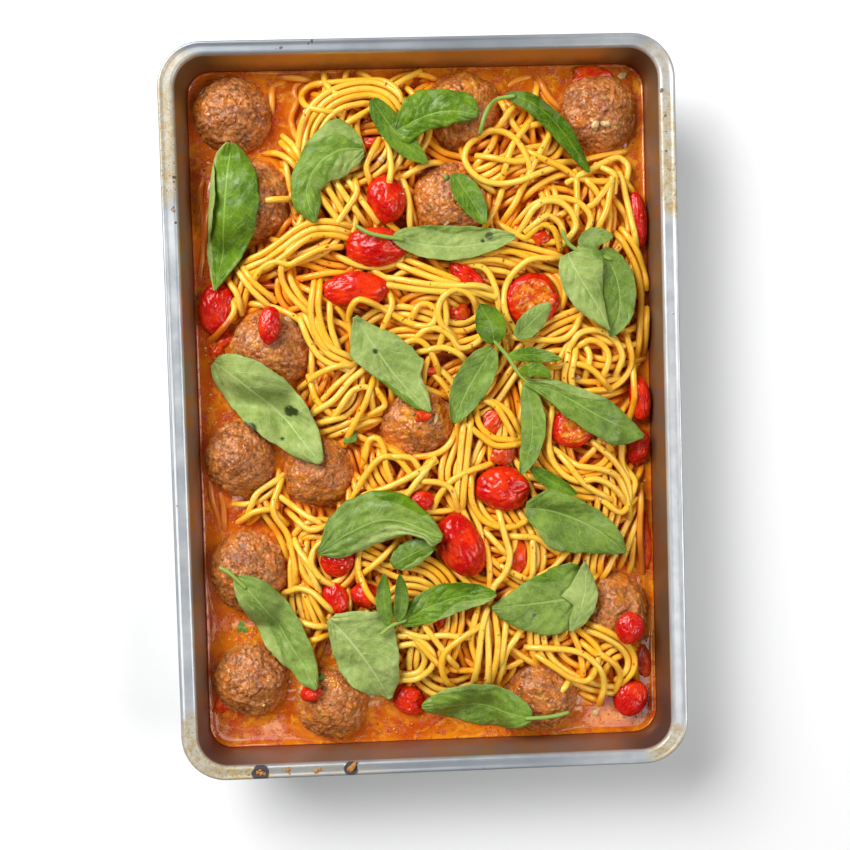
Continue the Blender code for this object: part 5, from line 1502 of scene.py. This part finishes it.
def add_blade(joined, spec, relief, sheet):
    """Adds a blade, and gives the points above and below it for what is laid later."""
    length = math.dist(spec["path"][0], spec["path"][-1])
    steps = SHORT_LEAF_STEPS if length < SHORT_LEAF else LEAF_STEPS
    columns = np.linspace(-1, 1, LEAF_COLUMNS)
    grid = blade_grid(spec, relief, sheet, steps, columns, detail=1.0)
    u, v = np.meshgrid(np.linspace(*BLADE_ENDS, steps + 1), (columns + 1) / 2, indexing="ij")
    uv = np.column_stack((u.ravel(), v.ravel()))
    share, pale = turned_part(spec, uv[:, 0], uv[:, 1] * 2.0 - 1.0)
    # painted shadow: a dark line along the border of each turned-over part, added to the blade's given
    # darkness
    dark = spec["dark"] * (1 - share) + 0.35 * np.sin(math.pi * share)
    joined.add(blade_skin(grid), np.tile(uv, (2, 1)), np.tile(np.column_stack((pale, dark)), (2, 1)))
    plain = blade_grid(spec, relief, sheet, LAID_STEPS, np.linspace(-1, 1, LAID_COLUMNS)).reshape(-1, 3)
    return plain + (0, 0, LEAF_THICK), plain - (0, 0, LEAF_SHOWN / 2 + 0.7)


def add_stem(joined, stem, relief, sheet):
    """Adds a stem, and gives the points above and below it for what is laid later."""
    path = smooth_path(stem, STEM_STEPS)
    heights = relief.sample(sheet, path[:, 0], path[:, 1]) + LEAF_CLEAR + STEM_RADIUS * 0.8
    spine = np.column_stack((path, heights))
    skin = round_rod(spine, STEM_RADIUS * 0.85, 10)
    count = len(skin[0])
    joined.add(skin, np.tile((0.02, 0.5), (count, 1)), np.tile((0.25, 0.0), (count, 1)))
    dense = resample(spine, LAID_STEM_STEPS)
    return dense + (0, 0, STEM_RADIUS), dense - (0, 0, STEM_RADIUS)


def build_basil(entry, relief, finish):
    name, blades, stems = entry
    sheet = relief.cover()
    joined = Joined()
    laid = [add_blade(joined, spec, relief, sheet) for spec in blades]
    laid += [add_stem(joined, stem, relief, sheet) for stem in stems]
    points = np.concatenate(joined.points)
    pale, dark = np.concatenate(joined.looks).T
    sprig = add_mesh(name + "_leaf", points, joined.faces, finish,
                     {"pale": pale, "dark": dark, "blemish": blemishes(points)}, np.concatenate(joined.uvs))
    turn_outward(sprig)
    serve(sprig, "basil_leaf", name)
    for upper, under in laid:
        relief.add_points(upper, under)


# Strands

# Strands


class StrandBed(HeightMap):
    """Fine height map on which the strands are laid one after another."""

    def __init__(self, relief, solid_top, solid_low):
        super().__init__(FINE_CELL)
        self.depth = outline_depth(self.x, self.y)
        dive = np.maximum(HEAP_EDGE + self.depth * SHORE_SLOPE, SAUCE_TOP - SHORE_DROP)
        self.heap = np.where(self.depth < 0, dive, heap_height(self.x, self.y))
        self.z = self.heap - CORE_DROP
        self.open = np.zeros(self.x.shape, dtype=bool)
        for centre_x, centre_y, radius in OPEN_SAUCE:
            self.open |= np.hypot(self.x - centre_x, self.y - centre_y) < radius
        self.relief = relief
        self.solid_top = solid_top
        self.solid_low = solid_low
        self.runs = []

    def coarse(self, grid, x, y):
        """Value of one of the coarser maps at each point."""
        return grid[self.relief.cells(x, y)]

    def resting_height(self, path, over_solids):
        """Height of the strand's middle where it touches what lies below it."""
        side = sideways(path)
        rest = np.full(len(path), -FAR)
        for offset in REST_OFFSETS:
            x, y = (path + side * offset).T
            below = self.z[self.cells(x, y)]
            if over_solids:
                below = np.maximum(below, self.coarse(self.solid_top, x, y))
            rest = np.maximum(rest, below + math.sqrt(NOODLE_RADIUS ** 2 - offset ** 2))
        return rest

    def lay(self, path, tint, cap, slack, over_solids=False, sauced=0.0, stiffness=2.6, shortest=7):
        """Lays one strand along a plan path, pressed down to its cap, and left out where it would bulge."""
        if len(path) < 6:
            return
        x, y = path.T
        rest = self.resting_height(path, over_solids)
        limit = self.heap[self.cells(x, y)] + cap
        if over_solids:
            limit = np.maximum(limit, self.coarse(self.solid_top, x, y) + NOODLE_RADIUS)
            rest = np.maximum(rest, SAUCE_TOP - 0.6)
        fits = rest < limit + slack
        rest = np.minimum(rest, limit)
        padded = np.pad(rest, BRIDGE_REACH, mode="edge")
        bridged = np.max([padded[shift:shift + len(rest)] for shift in range(2 * BRIDGE_REACH + 1)], axis=0)
        span = int(stiffness * 3)
        weights = np.exp(-0.5 * (np.arange(-span, span + 1) / stiffness) ** 2)
        eased = np.convolve(np.pad(bridged, span, mode="edge"), weights / weights.sum(), mode="valid")
        spine = np.column_stack((path, np.maximum(eased, rest - STRAND_SINK)))
        for run in self.free_runs(spine, fits, over_solids, shortest):
            run = tuck_ends(run)
            self.stamp(run)
            self.runs.append((run, tint, sauced))

    def free_runs(self, spine, fits, over_solids, shortest):
        """Parts of a strand clear of the walls, of pieces it would pass through and of the leaves."""
        x, y, z = spine.T
        inset = (FLANGE_TOP - z) * WALL_SLOPE + NOODLE_RADIUS + 0.3
        free = fits & (np.abs(x) < OPENING_HALF_X - inset) & (np.abs(y) < OPENING_HALF_Y - inset)
        free &= z + NOODLE_RADIUS < self.coarse(self.relief.roof, x, y) + 0.2
        if not over_solids:
            free &= ~self.open[self.cells(x, y)]
            under_top = z - 0.6 < self.coarse(self.solid_top, x, y)
            free &= ~(under_top & (z + 0.6 > self.coarse(self.solid_low, x, y)))
        edges = np.flatnonzero(np.diff(np.concatenate(([0], free.astype(int), [0]))))
        return [spine[start:end] for start, end in zip(edges[::2], edges[1::2]) if end - start >= shortest]

    def stamp(self, run):
        dense = resample(run, int(length_of(run) / 0.45) + 2)
        side = sideways(dense[:, :2])
        for offset in STAMP_OFFSETS:
            cells = self.cells(*(dense[:, :2] + side * offset).T)
            np.maximum.at(self.z, cells, dense[:, 2] + math.sqrt(NOODLE_RADIUS ** 2 - offset ** 2))


def tuck_ends(run):
    """Bends the ends of a strand down among those below, except the few that show cut."""
    low = np.zeros(len(run))
    steps = np.arange(len(run), dtype=float)
    for end, away in ((run[0], steps), (run[-1], steps[::-1])):
        if not any(math.hypot(end[0] - x, end[1] - y) < CUT_END_REACH for x, y in CUT_ENDS):
            low = np.maximum(low, np.clip(1.0 - away / TUCK_LENGTH, 0.0, 1.0) ** 2)
    return run - np.column_stack((low * 0.0, low * 0.0, low * TUCK_DROP))


def lengthen(bed, path, count):
    """Runs a line straight on at both ends by a few of its own steps, but not over a meatball or tomato."""
    steps = np.arange(1, count + 1)[:, None]
    head = path[0] - (path[1] - path[0]) * steps[::-1]
    tail = path[-1] + (path[-1] - path[-2]) * steps
    head, tail = (part if bed.coarse(bed.solid_top, *part.T).max() < SAUCE_TOP else part[:0]
                  for part in (head, tail))
    return np.vstack((head, path, tail))


def photo_to_strand(points):
    """Moves points read in the photo at the leaves' height down to the strands' height."""
    eye_x, eye_y, eye_z = (value / MM for value in CAMERA_PLACE)
    share = (eye_z - STRAND_PLANE) / (eye_z - PHOTO_PLANE)
    return [(eye_x + (x - eye_x) * share, eye_y + (y - eye_y) * share) for x, y in points]


def flow(x, y):
    """Direction in which hidden strands tend to lie: round the swirls, else slowly turning."""
    angle = math.pi * 2.2 * noise.noise(Vector((x / 70.0, y / 70.0, 4.2)))
    dx = 0.35 * math.cos(angle)
    dy = 0.35 * math.sin(angle)
    for centre_x, centre_y, reach, sense in SWIRLS:
        off_x = x - centre_x
        off_y = y - centre_y
        away = math.hypot(off_x, off_y) + 1e-6
        weight = sense * math.exp(-(away / reach) ** 2) * min(1.0, away / 5.0)
        dx -= weight * off_y / away
        dy += weight * off_x / away
    return math.atan2(dy, dx)


def wander(rng, x, y, length):
    """Plan path that starts at a point and drifts with the flow, one point a millimetre."""
    heading = flow(x, y) + rng.normal(0.0, 0.55)
    bend = rng.uniform(-0.05, 0.05)
    half = [[(x, y)], [(x, y)]]
    for side, sign in ((0, 1), (1, -1)):
        px, py = x, y
        angle = heading if sign > 0 else heading + math.pi
        turn = bend * sign
        for _ in range(int(length / 2)):
            pull = flow(px, py) + (0.0 if sign > 0 else math.pi) - angle
            pull = math.atan2(math.sin(pull), math.cos(pull))
            angle += turn + max(-0.06, min(0.06, pull * 0.05))
            turn += rng.normal(0.0, 0.006) - turn * 0.03
            px += math.cos(angle)
            py += math.sin(angle)
            half[side].append((px, py))
    return np.array(half[1][::-1] + half[0][1:])


def fill_bed(bed, tries, cap, slack, shortest, lengths):
    """Strands in small bundles, wherever the bed is still lowest."""
    rng = np.random.default_rng(FILL_SEED + tries)
    step = FILL_CELLS
    heap = bed.heap[::step, ::step]
    usable = (bed.depth[::step, ::step] > -2.0) & (bed.coarse(bed.solid_top, bed.x,
                                                              bed.y)[::step, ::step] < SAUCE_TOP + 6.0)
    tried = np.zeros(heap.shape)
    for _ in range(tries):
        lag = np.where(usable, heap + cap + NOODLE_RADIUS - bed.z[::step, ::step] - tried, 0.0)
        lag = np.clip(lag, 0.0, 7.0)
        chance = (lag ** 3).ravel()
        if lag.max() < 1.6:
            break
        pick = rng.choice(len(chance), p=chance / chance.sum())
        row, col = divmod(pick, lag.shape[1])
        tried[row, col] += 0.8
        x = -MAP_HALF_X + col * step * FINE_CELL + rng.uniform(-1.5, 1.5)
        y = -MAP_HALF_Y + row * step * FINE_CELL + rng.uniform(-1.5, 1.5)
        path = wander(rng, x, y, rng.uniform(*lengths))
        for index in range(rng.integers(1, 4)):
            line = beside(path, index * rng.uniform(3.0, 3.5))
            bed.lay(line, rng.uniform(0.0, 1.0), cap, slack, shortest=shortest)


def lay_guided(bed, table, sauced=0.0, over_solids=True):
    """Strands that follow points read off the photo, with small unevenness of their own."""
    rng = np.random.default_rng(FILL_SEED + 1)
    for count, *points in table:
        guide = smooth_path(photo_to_strand(points), GUIDE_STEPS)
        guide = lengthen(bed, resample(guide, max(8, int(length_of(guide)))), 4)
        for index in range(count):
            path = beside(guide, (index - (count - 1) / 2) * STRAND_PITCH)
            wave = rng.uniform(0, 6.3)
            steps = np.arange(len(path))
            path = path + np.column_stack((0.25 * np.sin(steps / 7.0 + wave),
                                           0.25 * np.cos(steps / 9.0 + wave)))
            bed.lay(path, rng.uniform(0.0, 1.0), SHOWN_CAP, 50.0, over_solids, sauced, stiffness=3.2)


def strand_tree(finish):
    """Geometry Nodes that give every strand line its round thickness."""
    made = Growth("cooked_strands", "Lines", "Strands", ("Radius",), ("Sides",))
    lines = made.node("GeometryNodeMeshToCurve", {"Mesh": made.given["Lines"]})
    ring = made.node("GeometryNodeCurvePrimitiveCircle",
                     {"Radius": made.given["Radius"], "Resolution": made.given["Sides"]})
    skin = made.node("GeometryNodeCurveToMesh", {
        "Curve": lines.outputs["Curve"], "Profile Curve": ring.outputs["Curve"], "Fill Caps": True})
    return made.close(skin.outputs["Mesh"], finish)


def build_strands(bed, tree, finish):
    """Turns the laid runs into a few joined pieces, each well under the size limit."""
    groups = [[], [], []]
    for index, run in enumerate(bed.runs):
        groups[index * len(groups) // len(bed.runs)].append(run)
    pieces = []
    for number, group in enumerate(groups, start=1):
        points, edges, depths, tints, sauces = ([] for _ in range(5))
        for run, tint, sauced in group:
            line = resample(run, max(4, int(length_of(run) / NOODLE_STEP) + 1))
            first = len(points)
            cells = bed.cells(*line.T[:2])
            outside = np.clip(-bed.depth[cells] / 6.0, 0.0, 1.0)
            depth = np.clip((bed.heap[cells] + 3.0 - line[:, 2] - NOODLE_RADIUS) / 8.0, 0.0, 1.0)
            points += line.tolist()
            edges += [(first + step, first + step + 1) for step in range(len(line) - 1)]
            depths += np.maximum(depth, outside * 0.9).tolist()
            tints += [tint] * len(line)
            sauces += [sauced] * len(line)
        piece = add_mesh("spaghetti_strands_%d" % number, points, [], finish,
                         {"depth": depths, "tint": tints, "sauced": sauces}, edges=edges)
        grow(piece, tree, radius=NOODLE_RADIUS * MM, sides=NOODLE_SIDES)
        pieces.append(piece)
    serve(pieces[0], "spaghetti_strands", "spaghetti")
    for piece in pieces[1:]:
        serve(piece, "spaghetti_strands")


def build_core(bed, finish):
    """Sauce-soaked body under the strands, a closed slab with the heap's form."""
    heights = bed.heap[::CORE_STEP, ::CORE_STEP] - CORE_DROP
    xs = bed.axis_x[::CORE_STEP]
    ys = bed.axis_y[::CORE_STEP]
    inside_x = np.abs(xs) <= CORE_HALF_X
    inside_y = np.abs(ys) <= CORE_HALF_Y
    heights = heights[np.ix_(inside_y, inside_x)]
    grid_x, grid_y = np.meshgrid(xs[inside_x], ys[inside_y])
    top = np.column_stack((grid_x.ravel(), grid_y.ravel(), heights.ravel()))
    low = top.copy()
    low[:, 2] = SHEET + GAP + 1.0
    faces = slab_faces(*heights.shape)
    core = add_mesh("soaked_core", np.concatenate((top, low)), faces, finish)
    turn_outward(core)
    serve(core, "tomato_sauce")


# Small bits: x, y, half sizes, turn
TOMATO_BITS = (
    (16.5, 43.0, 5.0, 4.0, 20), (-71.0, 60.0, 4.0, 3.0, 60), (-91.0, 34.0, 4.5, 3.0, 30),
    (-95.0, 28.0, 4.0, 3.0, 100), (-98.0, -135.0, 6.0, 4.0, 40), (-1.5, -3.0, 4.0, 2.6, 10),
    (-22.0, 121.0, 4.0, 3.0, 0), (80.0, 150.0, 9.0, 4.0, 5), (3.0, 16.8, 3.6, 2.0, 15),
    (30.0, -7.0, 6.0, 4.5, 50), (40.5, -69.0, 5.0, 8.0, 0), (24.0, -51.0, 4.0, 3.0, 30),
    (34.5, -22.5, 6.0, 4.0, 10), (5.0, -98.0, 4.0, 3.0, 40), (54.0, 76.0, 4.0, 3.2, 0),
    (101.0, -62.0, 3.2, 14.0, 4), (98.0, -121.0, 5.0, 8.0, 0), (-57.0, 3.0, 3.0, 2.2, 0),
)
ONION_BITS = (
    (-62.0, 42.0, 2.2, 1.6, 20), (76.0, -146.0, 2.2, 1.7, 40), (4.0, -5.0, 2.4, 1.2, 70),
    (-17.0, 113.0, 1.8, 1.3, 0), (1.0, 105.0, 1.8, 1.2, 30), (80.0, 126.0, 2.4, 1.5, 60),
    (85.0, 126.5, 2.2, 1.6, 10), (30.0, -143.0, 1.6, 1.2, 0), (95.0, 150.0, 2.6, 2.0, 45),
    (69.0, 12.0, 1.6, 1.1, 0), (-4.0, 120.0, 1.5, 1.1, 0),
)
HERB_BITS = (
    (-35.0, -13.0, 3.6, 2.0, 30), (-33.0, -11.0, 2.2, 1.5, 110), (-89.0, -99.0, 3.4, 2.0, 60),
    (-87.0, -101.0, 2.2, 1.4, 0), (-52.0, -123.0, 2.8, 1.6, 20), (12.0, 104.0, 1.8, 1.2, 60),
)


# Baked crumbs on the flange: x, y, half sizes, turn
RIM_CRUMBS = (
    (-79.6, -162.2, 1.1, 0.8, 30), (-81.4, -161.8, 0.9, 0.7, 100), (-78.2, -162.6, 0.8, 0.6, 60),
    (-80.2, -160.9, 0.7, 0.5, 10), (-38.4, -160.6, 3.2, 1.2, 52), (-67.6, -160.8, 1.1, 0.8, 80),
    (-67.0, -163.0, 0.9, 0.5, 120), (-55.0, -162.2, 1.2, 0.8, 20), (-53.2, -161.4, 0.9, 0.6, 70),
    (-54.2, -163.4, 0.7, 0.5, 0), (-109.6, 91.0, 0.7, 0.5, 60), (111.6, 104.0, 0.6, 0.4, 20),
)


def join_lumps(ball, table, lumps):
    """Turns each lump as its row of the table says, puts it in its place and joins them all."""
    unit, faces = ball
    points = []
    all_faces = []
    for number, ((centre_x, centre_y, _, _, degrees), (x, y, z)) in enumerate(zip(table, lumps)):
        turn = math.radians(degrees)
        points.append(np.column_stack((centre_x + x * math.cos(turn) - y * math.sin(turn),
                                       centre_y + x * math.sin(turn) + y * math.cos(turn), z)))
        all_faces += [tuple(index + len(unit) * number for index in face) for face in faces]
    return np.concatenate(points), all_faces


def rim_crumbs(finish, ball):
    """Crumbs that have baked on to the tray's flange."""
    unit, _ = ball
    crumbs = []
    for number, (_, _, half_long, half_wide, _) in enumerate(RIM_CRUMBS):
        x, y, z = (unit * (1.0 + 0.4 * rough(unit, 0.9, number + 40.0))[:, None]).T
        crumbs.append((x * half_long, y * half_wide * (1.0 - 0.45 * x),
                       FLANGE_TOP + half_wide * (0.35 + 0.6 * z)))
    points, faces = join_lumps(ball, RIM_CRUMBS, crumbs)
    serve(add_mesh("rim_crumbs", points, faces, finish), "tomato_sauce")


def scatter_tree(finish):
    """Geometry Nodes that put a small uneven fleck on every point, each with its own size and turn."""
    made = Growth("scattered_flecks", "Places", "Flecks",
                  ("Smallest", "Largest", "Width share", "Height share"), ("Seed",))
    given = made.given
    length = made.node("FunctionNodeRandomValue",
                       {2: given["Smallest"], 3: given["Largest"], "Seed": given["Seed"]},
                       data_type="FLOAT").outputs[1]
    turns = {0: (-FLECK_TILT, -FLECK_TILT, 0.0), 1: (FLECK_TILT, FLECK_TILT, 2 * math.pi),
             "Seed": given["Seed"]}
    turn = made.node("FunctionNodeRandomValue", turns, data_type="FLOAT_VECTOR").outputs[0]
    scale = made.node("ShaderNodeCombineXYZ", {
        "X": length, "Y": made.times(length, given["Width share"]),
        "Z": made.times(length, given["Height share"])})
    fleck = made.node("GeometryNodeMeshUVSphere", {"Segments": 6, "Rings": 4, "Radius": MM})
    put = made.node("GeometryNodeInstanceOnPoints", {
        "Points": given["Places"], "Instance": fleck.outputs["Mesh"], "Rotation": turn,
        "Scale": scale.outputs["Vector"]})
    real = made.node("GeometryNodeRealizeInstances", {"Geometry": put.outputs["Instances"]})
    place = made.node("GeometryNodeInputPosition").outputs[0]
    uneven = made.node("ShaderNodeTexNoise", {"Vector": place, "Scale": 1.0 / (FLECK_BUMP_SIZE * MM)})
    centred = made.vector_math("SUBTRACT", uneven.outputs["Color"], (0.5, 0.5, 0.5))
    push = made.vector_math("SCALE", centred, scale=FLECK_BUMP_HEIGHT * MM)
    move = made.node("GeometryNodeSetPosition", {"Geometry": real.outputs["Geometry"], "Offset": push})
    return made.close(move.outputs[0], finish)


def scattered(name, places, finish, slot, smallest, largest, width_share, height_share, seed):
    """Flecks of one kind at the given places, as one piece."""
    piece = add_mesh(name, places, [], finish)
    grow(piece, scatter_tree(finish), smallest=smallest, largest=largest, width_share=width_share,
         height_share=height_share, seed=seed)
    serve(piece, slot)


def fleck_places(bed, seed, on_sauce, on_strands, on_meat):
    """Random places on the open sauce, on the strands and on the meatballs, clear of the leaves."""
    rng = np.random.default_rng(seed)
    tries = FLECK_TRIES * (on_sauce + on_strands + on_meat)
    x = rng.uniform(FLECK_MARGIN - OPENING_HALF_X, OPENING_HALF_X - FLECK_MARGIN, tries)
    y = rng.uniform(FLECK_MARGIN - OPENING_HALF_Y, OPENING_HALF_Y - FLECK_MARGIN, tries)
    cells = bed.cells(x, y)
    depth = bed.depth[cells]
    solid = bed.coarse(bed.solid_top, x, y)
    roof = bed.coarse(bed.relief.roof, x, y)
    strand = bed.z[cells]
    bare = solid < SAUCE_TOP
    sauce = bare & (depth < -1.0) & (strand < SAUCE_TOP - 0.4) & (roof > SAUCE_TOP + 2.0)
    heap = bare & (depth > 1.0) & (strand > bed.heap[cells] - 1.5) & (roof > strand + 0.8)
    meat = (solid > SAUCE_TOP + 5.0) & (strand < solid - 0.5) & (roof > solid + 0.8)
    parts = []
    kinds = ((sauce, on_sauce, np.full(tries, SAUCE_TOP + 0.15)), (heap, on_strands, strand),
             (meat, on_meat, solid + 0.4))
    for wanted, count, height in kinds:
        picked = np.flatnonzero(wanted)[:count]
        parts.append(np.column_stack((x[picked], y[picked], height[picked])))
    return np.concatenate(parts)


def build_flecks(bed):
    """Fine pulp, seeds and herb flecks, strewn as the sauce leaves them."""
    pulp = plain_finish("sauce_pulp_orange", (0.78, 0.17, 0.012), 0.3, 1.6)
    scattered("sauce_pulp", fleck_places(bed, 41, 520, 420, 60), pulp, "tomato_sauce", 0.25, 0.95, 0.6, 0.35,
              3)
    seed = plain_finish("tomato_seed_yellow", (0.86, 0.50, 0.11), 0.3, 1.2)
    scattered("tomato_seeds", fleck_places(bed, 42, 90, 40, 16), seed, "tomato_sauce", 0.5, 1.0, 0.6, 0.35, 5)
    herb = plain_finish("herb_flecks_dark", (0.060, 0.085, 0.012), 0.5, 0.8)
    scattered("herb_flecks", fleck_places(bed, 43, 90, 90, 120), herb, "basil_leaf", 0.2, 0.6, 0.5, 0.25, 7)


def build_bits(name, table, finish, slot, half_high, bed, ball, values=None):
    """Small lumps of one kind, each on what lies under it, joined in one piece."""
    unit, _ = ball
    lumped = []
    for number, (centre_x, centre_y, half_long, half_wide, _) in enumerate(table):
        uneven = 1.0 + 0.45 * rough(unit, 0.9, number + 2.0) + 0.15 * rough(unit, 0.4, number)
        x, y, z = (unit * uneven[:, None]).T
        at = (np.array([centre_x]), np.array([centre_y]))
        top = max(bed.z[bed.cells(*at)][0], bed.coarse(bed.solid_top, *at)[0], SAUCE_TOP - 0.4)
        lumped.append((x * half_long, y * half_wide, top + half_high * 0.35 + z * half_high))
    points, faces = join_lumps(ball, table, lumped)
    stored = {key: np.full(len(points), value) for key, value in (values or {}).items()}
    serve(add_mesh(name, points, faces, finish, stored), slot)


def plain_finish(name, colour, roughness, grain):
    made = Finish(name, roughness)
    dark = tuple(value * 0.6 for value in colour)
    made.end("Base Color", made.mix(made.step(made.noise(grain), 0.35, 0.65), dark, colour))
    made.relief((made.noise(grain * 0.5, 3.0, 0.6), 0.3, 0.15))
    return made.material


# Studio

# Light of the room from the sides and from straight above
ROOM_SIDES = 1.68
ROOM_TOP = 0.30


def add_light(name, place, size_x, size_y, power, colour=(1.0, 1.0, 1.0), target=(0.0, 0.0, 0.03)):
    data = bpy.data.lights.new(name, "AREA")
    data.shape = "RECTANGLE"
    data.size = size_x
    data.size_y = size_y
    data.energy = power
    data.color = colour
    lamp = new_object(name, data)
    lamp.location = place
    lamp.rotation_euler = (Vector(target) - lamp.location).to_track_quat("-Z", "Y").to_euler()
    return lamp


def light_room(tree):
    """Soft room: bright all round, dimmer straight above, so that wet surfaces keep their colour."""
    made = Nodes(tree)
    height = made.axes(made.node("ShaderNodeTexCoord").outputs["Generated"])["Z"]
    strength = made.node("ShaderNodeMapRange", {
        "Value": height, "From Min": 0.45, "From Max": 0.92, "To Min": ROOM_SIDES, "To Max": ROOM_TOP})
    made.plug(strength.outputs["Result"], tree.nodes["Background"].inputs["Strength"])


def build_studio():
    scene = bpy.context.scene
    scene.view_settings.view_transform = "Standard"
    scene.view_settings.look = "None"
    scene.view_settings.exposure = 0.0
    world = bpy.data.worlds.new("soft_room")
    world.use_nodes = True
    light_room(world.node_tree)
    scene.world = world
    bpy.ops.mesh.primitive_plane_add(size=6.0, location=(0.0, 0.0, -0.0005))
    floor = bpy.context.active_object
    floor.name = "studio_floor"
    paper = bpy.data.materials.new("studio_paper")
    paper.use_nodes = True
    shader = paper.node_tree.nodes["Principled BSDF"]
    shader.inputs["Base Color"].default_value = (0.93, 0.93, 0.93, 1.0)
    shader.inputs["Roughness"].default_value = 0.9
    floor.data.materials.append(paper)
    add_light("window", (-0.75, 0.75, 1.0), 1.0, 0.8, 30.0)
    add_light("fill", (0.85, -0.25, 0.95), 0.7, 0.7, 7.0)
    add_light("sky_left", (-0.20, -0.44, 1.2), 0.22, 0.16, 0.42)
    add_light("sky_right", (0.33, -0.42, 1.2), 0.14, 0.20, 0.30)
    data = bpy.data.cameras.new("photo_camera")
    data.lens = CAMERA_LENS
    data.sensor_width = 36.0
    camera = new_object("photo_camera", data)
    camera.location = CAMERA_PLACE
    camera.rotation_euler = tuple(math.radians(angle) for angle in CAMERA_TURN)
    scene.camera = camera


def meatball_maps(relief):
    """Raises the map by the meatballs; gives the top and underside of the solid pieces in each cell."""
    solid_top = np.full(relief.z.shape, -FAR)
    solid_low = np.full(relief.z.shape, FAR)
    centre_z = MEATBALL_BASE + MEATBALL_HALF_Z
    for centre_x, centre_y, half_x, half_y in MEATBALLS:
        relief.add_ball(centre_x, centre_y, centre_z, half_x, half_y, MEATBALL_HALF_Z)
        share = ((relief.x - centre_x) / (half_x - BALL_EDGE)) ** 2
        share = share + ((relief.y - centre_y) / (half_y - BALL_EDGE)) ** 2
        ball_top = centre_z + (MEATBALL_HALF_Z - 0.6) * np.sqrt(np.clip(1 - share, 0, 1))
        solid_top = np.where(share < 1, np.maximum(solid_top, ball_top), solid_top)
        solid_low = np.where(share < 1, 0.0, solid_low)
    return solid_top, solid_low


def main():
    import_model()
    build_tray(tray_finish())
    sauce = sauce_finish()
    build_sauce(sauce)
    build_meatballs(meatball_finish())

    relief = Relief()
    inside = outline_depth(relief.x, relief.y) > 0
    heap = heap_height(relief.x, relief.y)
    relief.raise_to(heap, inside)
    solid_top, solid_low = meatball_maps(relief)
    skin = tomato_finish()
    ball = even_ball(5)
    for entry in TOMATOES:
        top, low = build_tomato(entry, relief, skin, ball)
        solid_top = np.maximum(solid_top, top)
        solid_low = np.minimum(solid_low, low)
    relief.raise_to(heap + NOODLE_LAYER, inside)
    leaves = leaf_finish()
    for entry in BASIL:
        build_basil(entry, relief, leaves)

    bed = StrandBed(relief, solid_top, solid_low)
    build_core(bed, sauce)
    for layer in FILL_LAYERS:
        fill_bed(bed, *layer)
    bits_ball = even_ball(4)
    lay_guided(bed, SUNK_STRANDS, sauced=0.6)
    # the bits' crease share gives them a little painted shade all over
    build_bits("tomato_bits", TOMATO_BITS, skin, "tomato_skin", 1.9, bed, bits_ball,
               {"open": 0.3, "crease": 0.2})
    lay_guided(bed, SHOWN_STRANDS)
    strands = strand_finish()
    build_strands(bed, strand_tree(strands), strands)
    onion = plain_finish("onion_soft", (0.76, 0.50, 0.20), 0.3, 2.0)
    build_bits("onion_bits", ONION_BITS, onion, "tomato_sauce", 1.1, bed, even_ball(3))
    herb = plain_finish("herb_bits_green", (0.16, 0.30, 0.03), 0.45, 1.5)
    build_bits("herb_bits", HERB_BITS, herb, "basil_leaf", 0.6, bed, even_ball(3))
    rim_crumbs(plain_finish("crumb_toasted", (0.62, 0.26, 0.055), 0.5, 0.9), even_ball(3))
    build_flecks(bed)
    build_studio()


main()
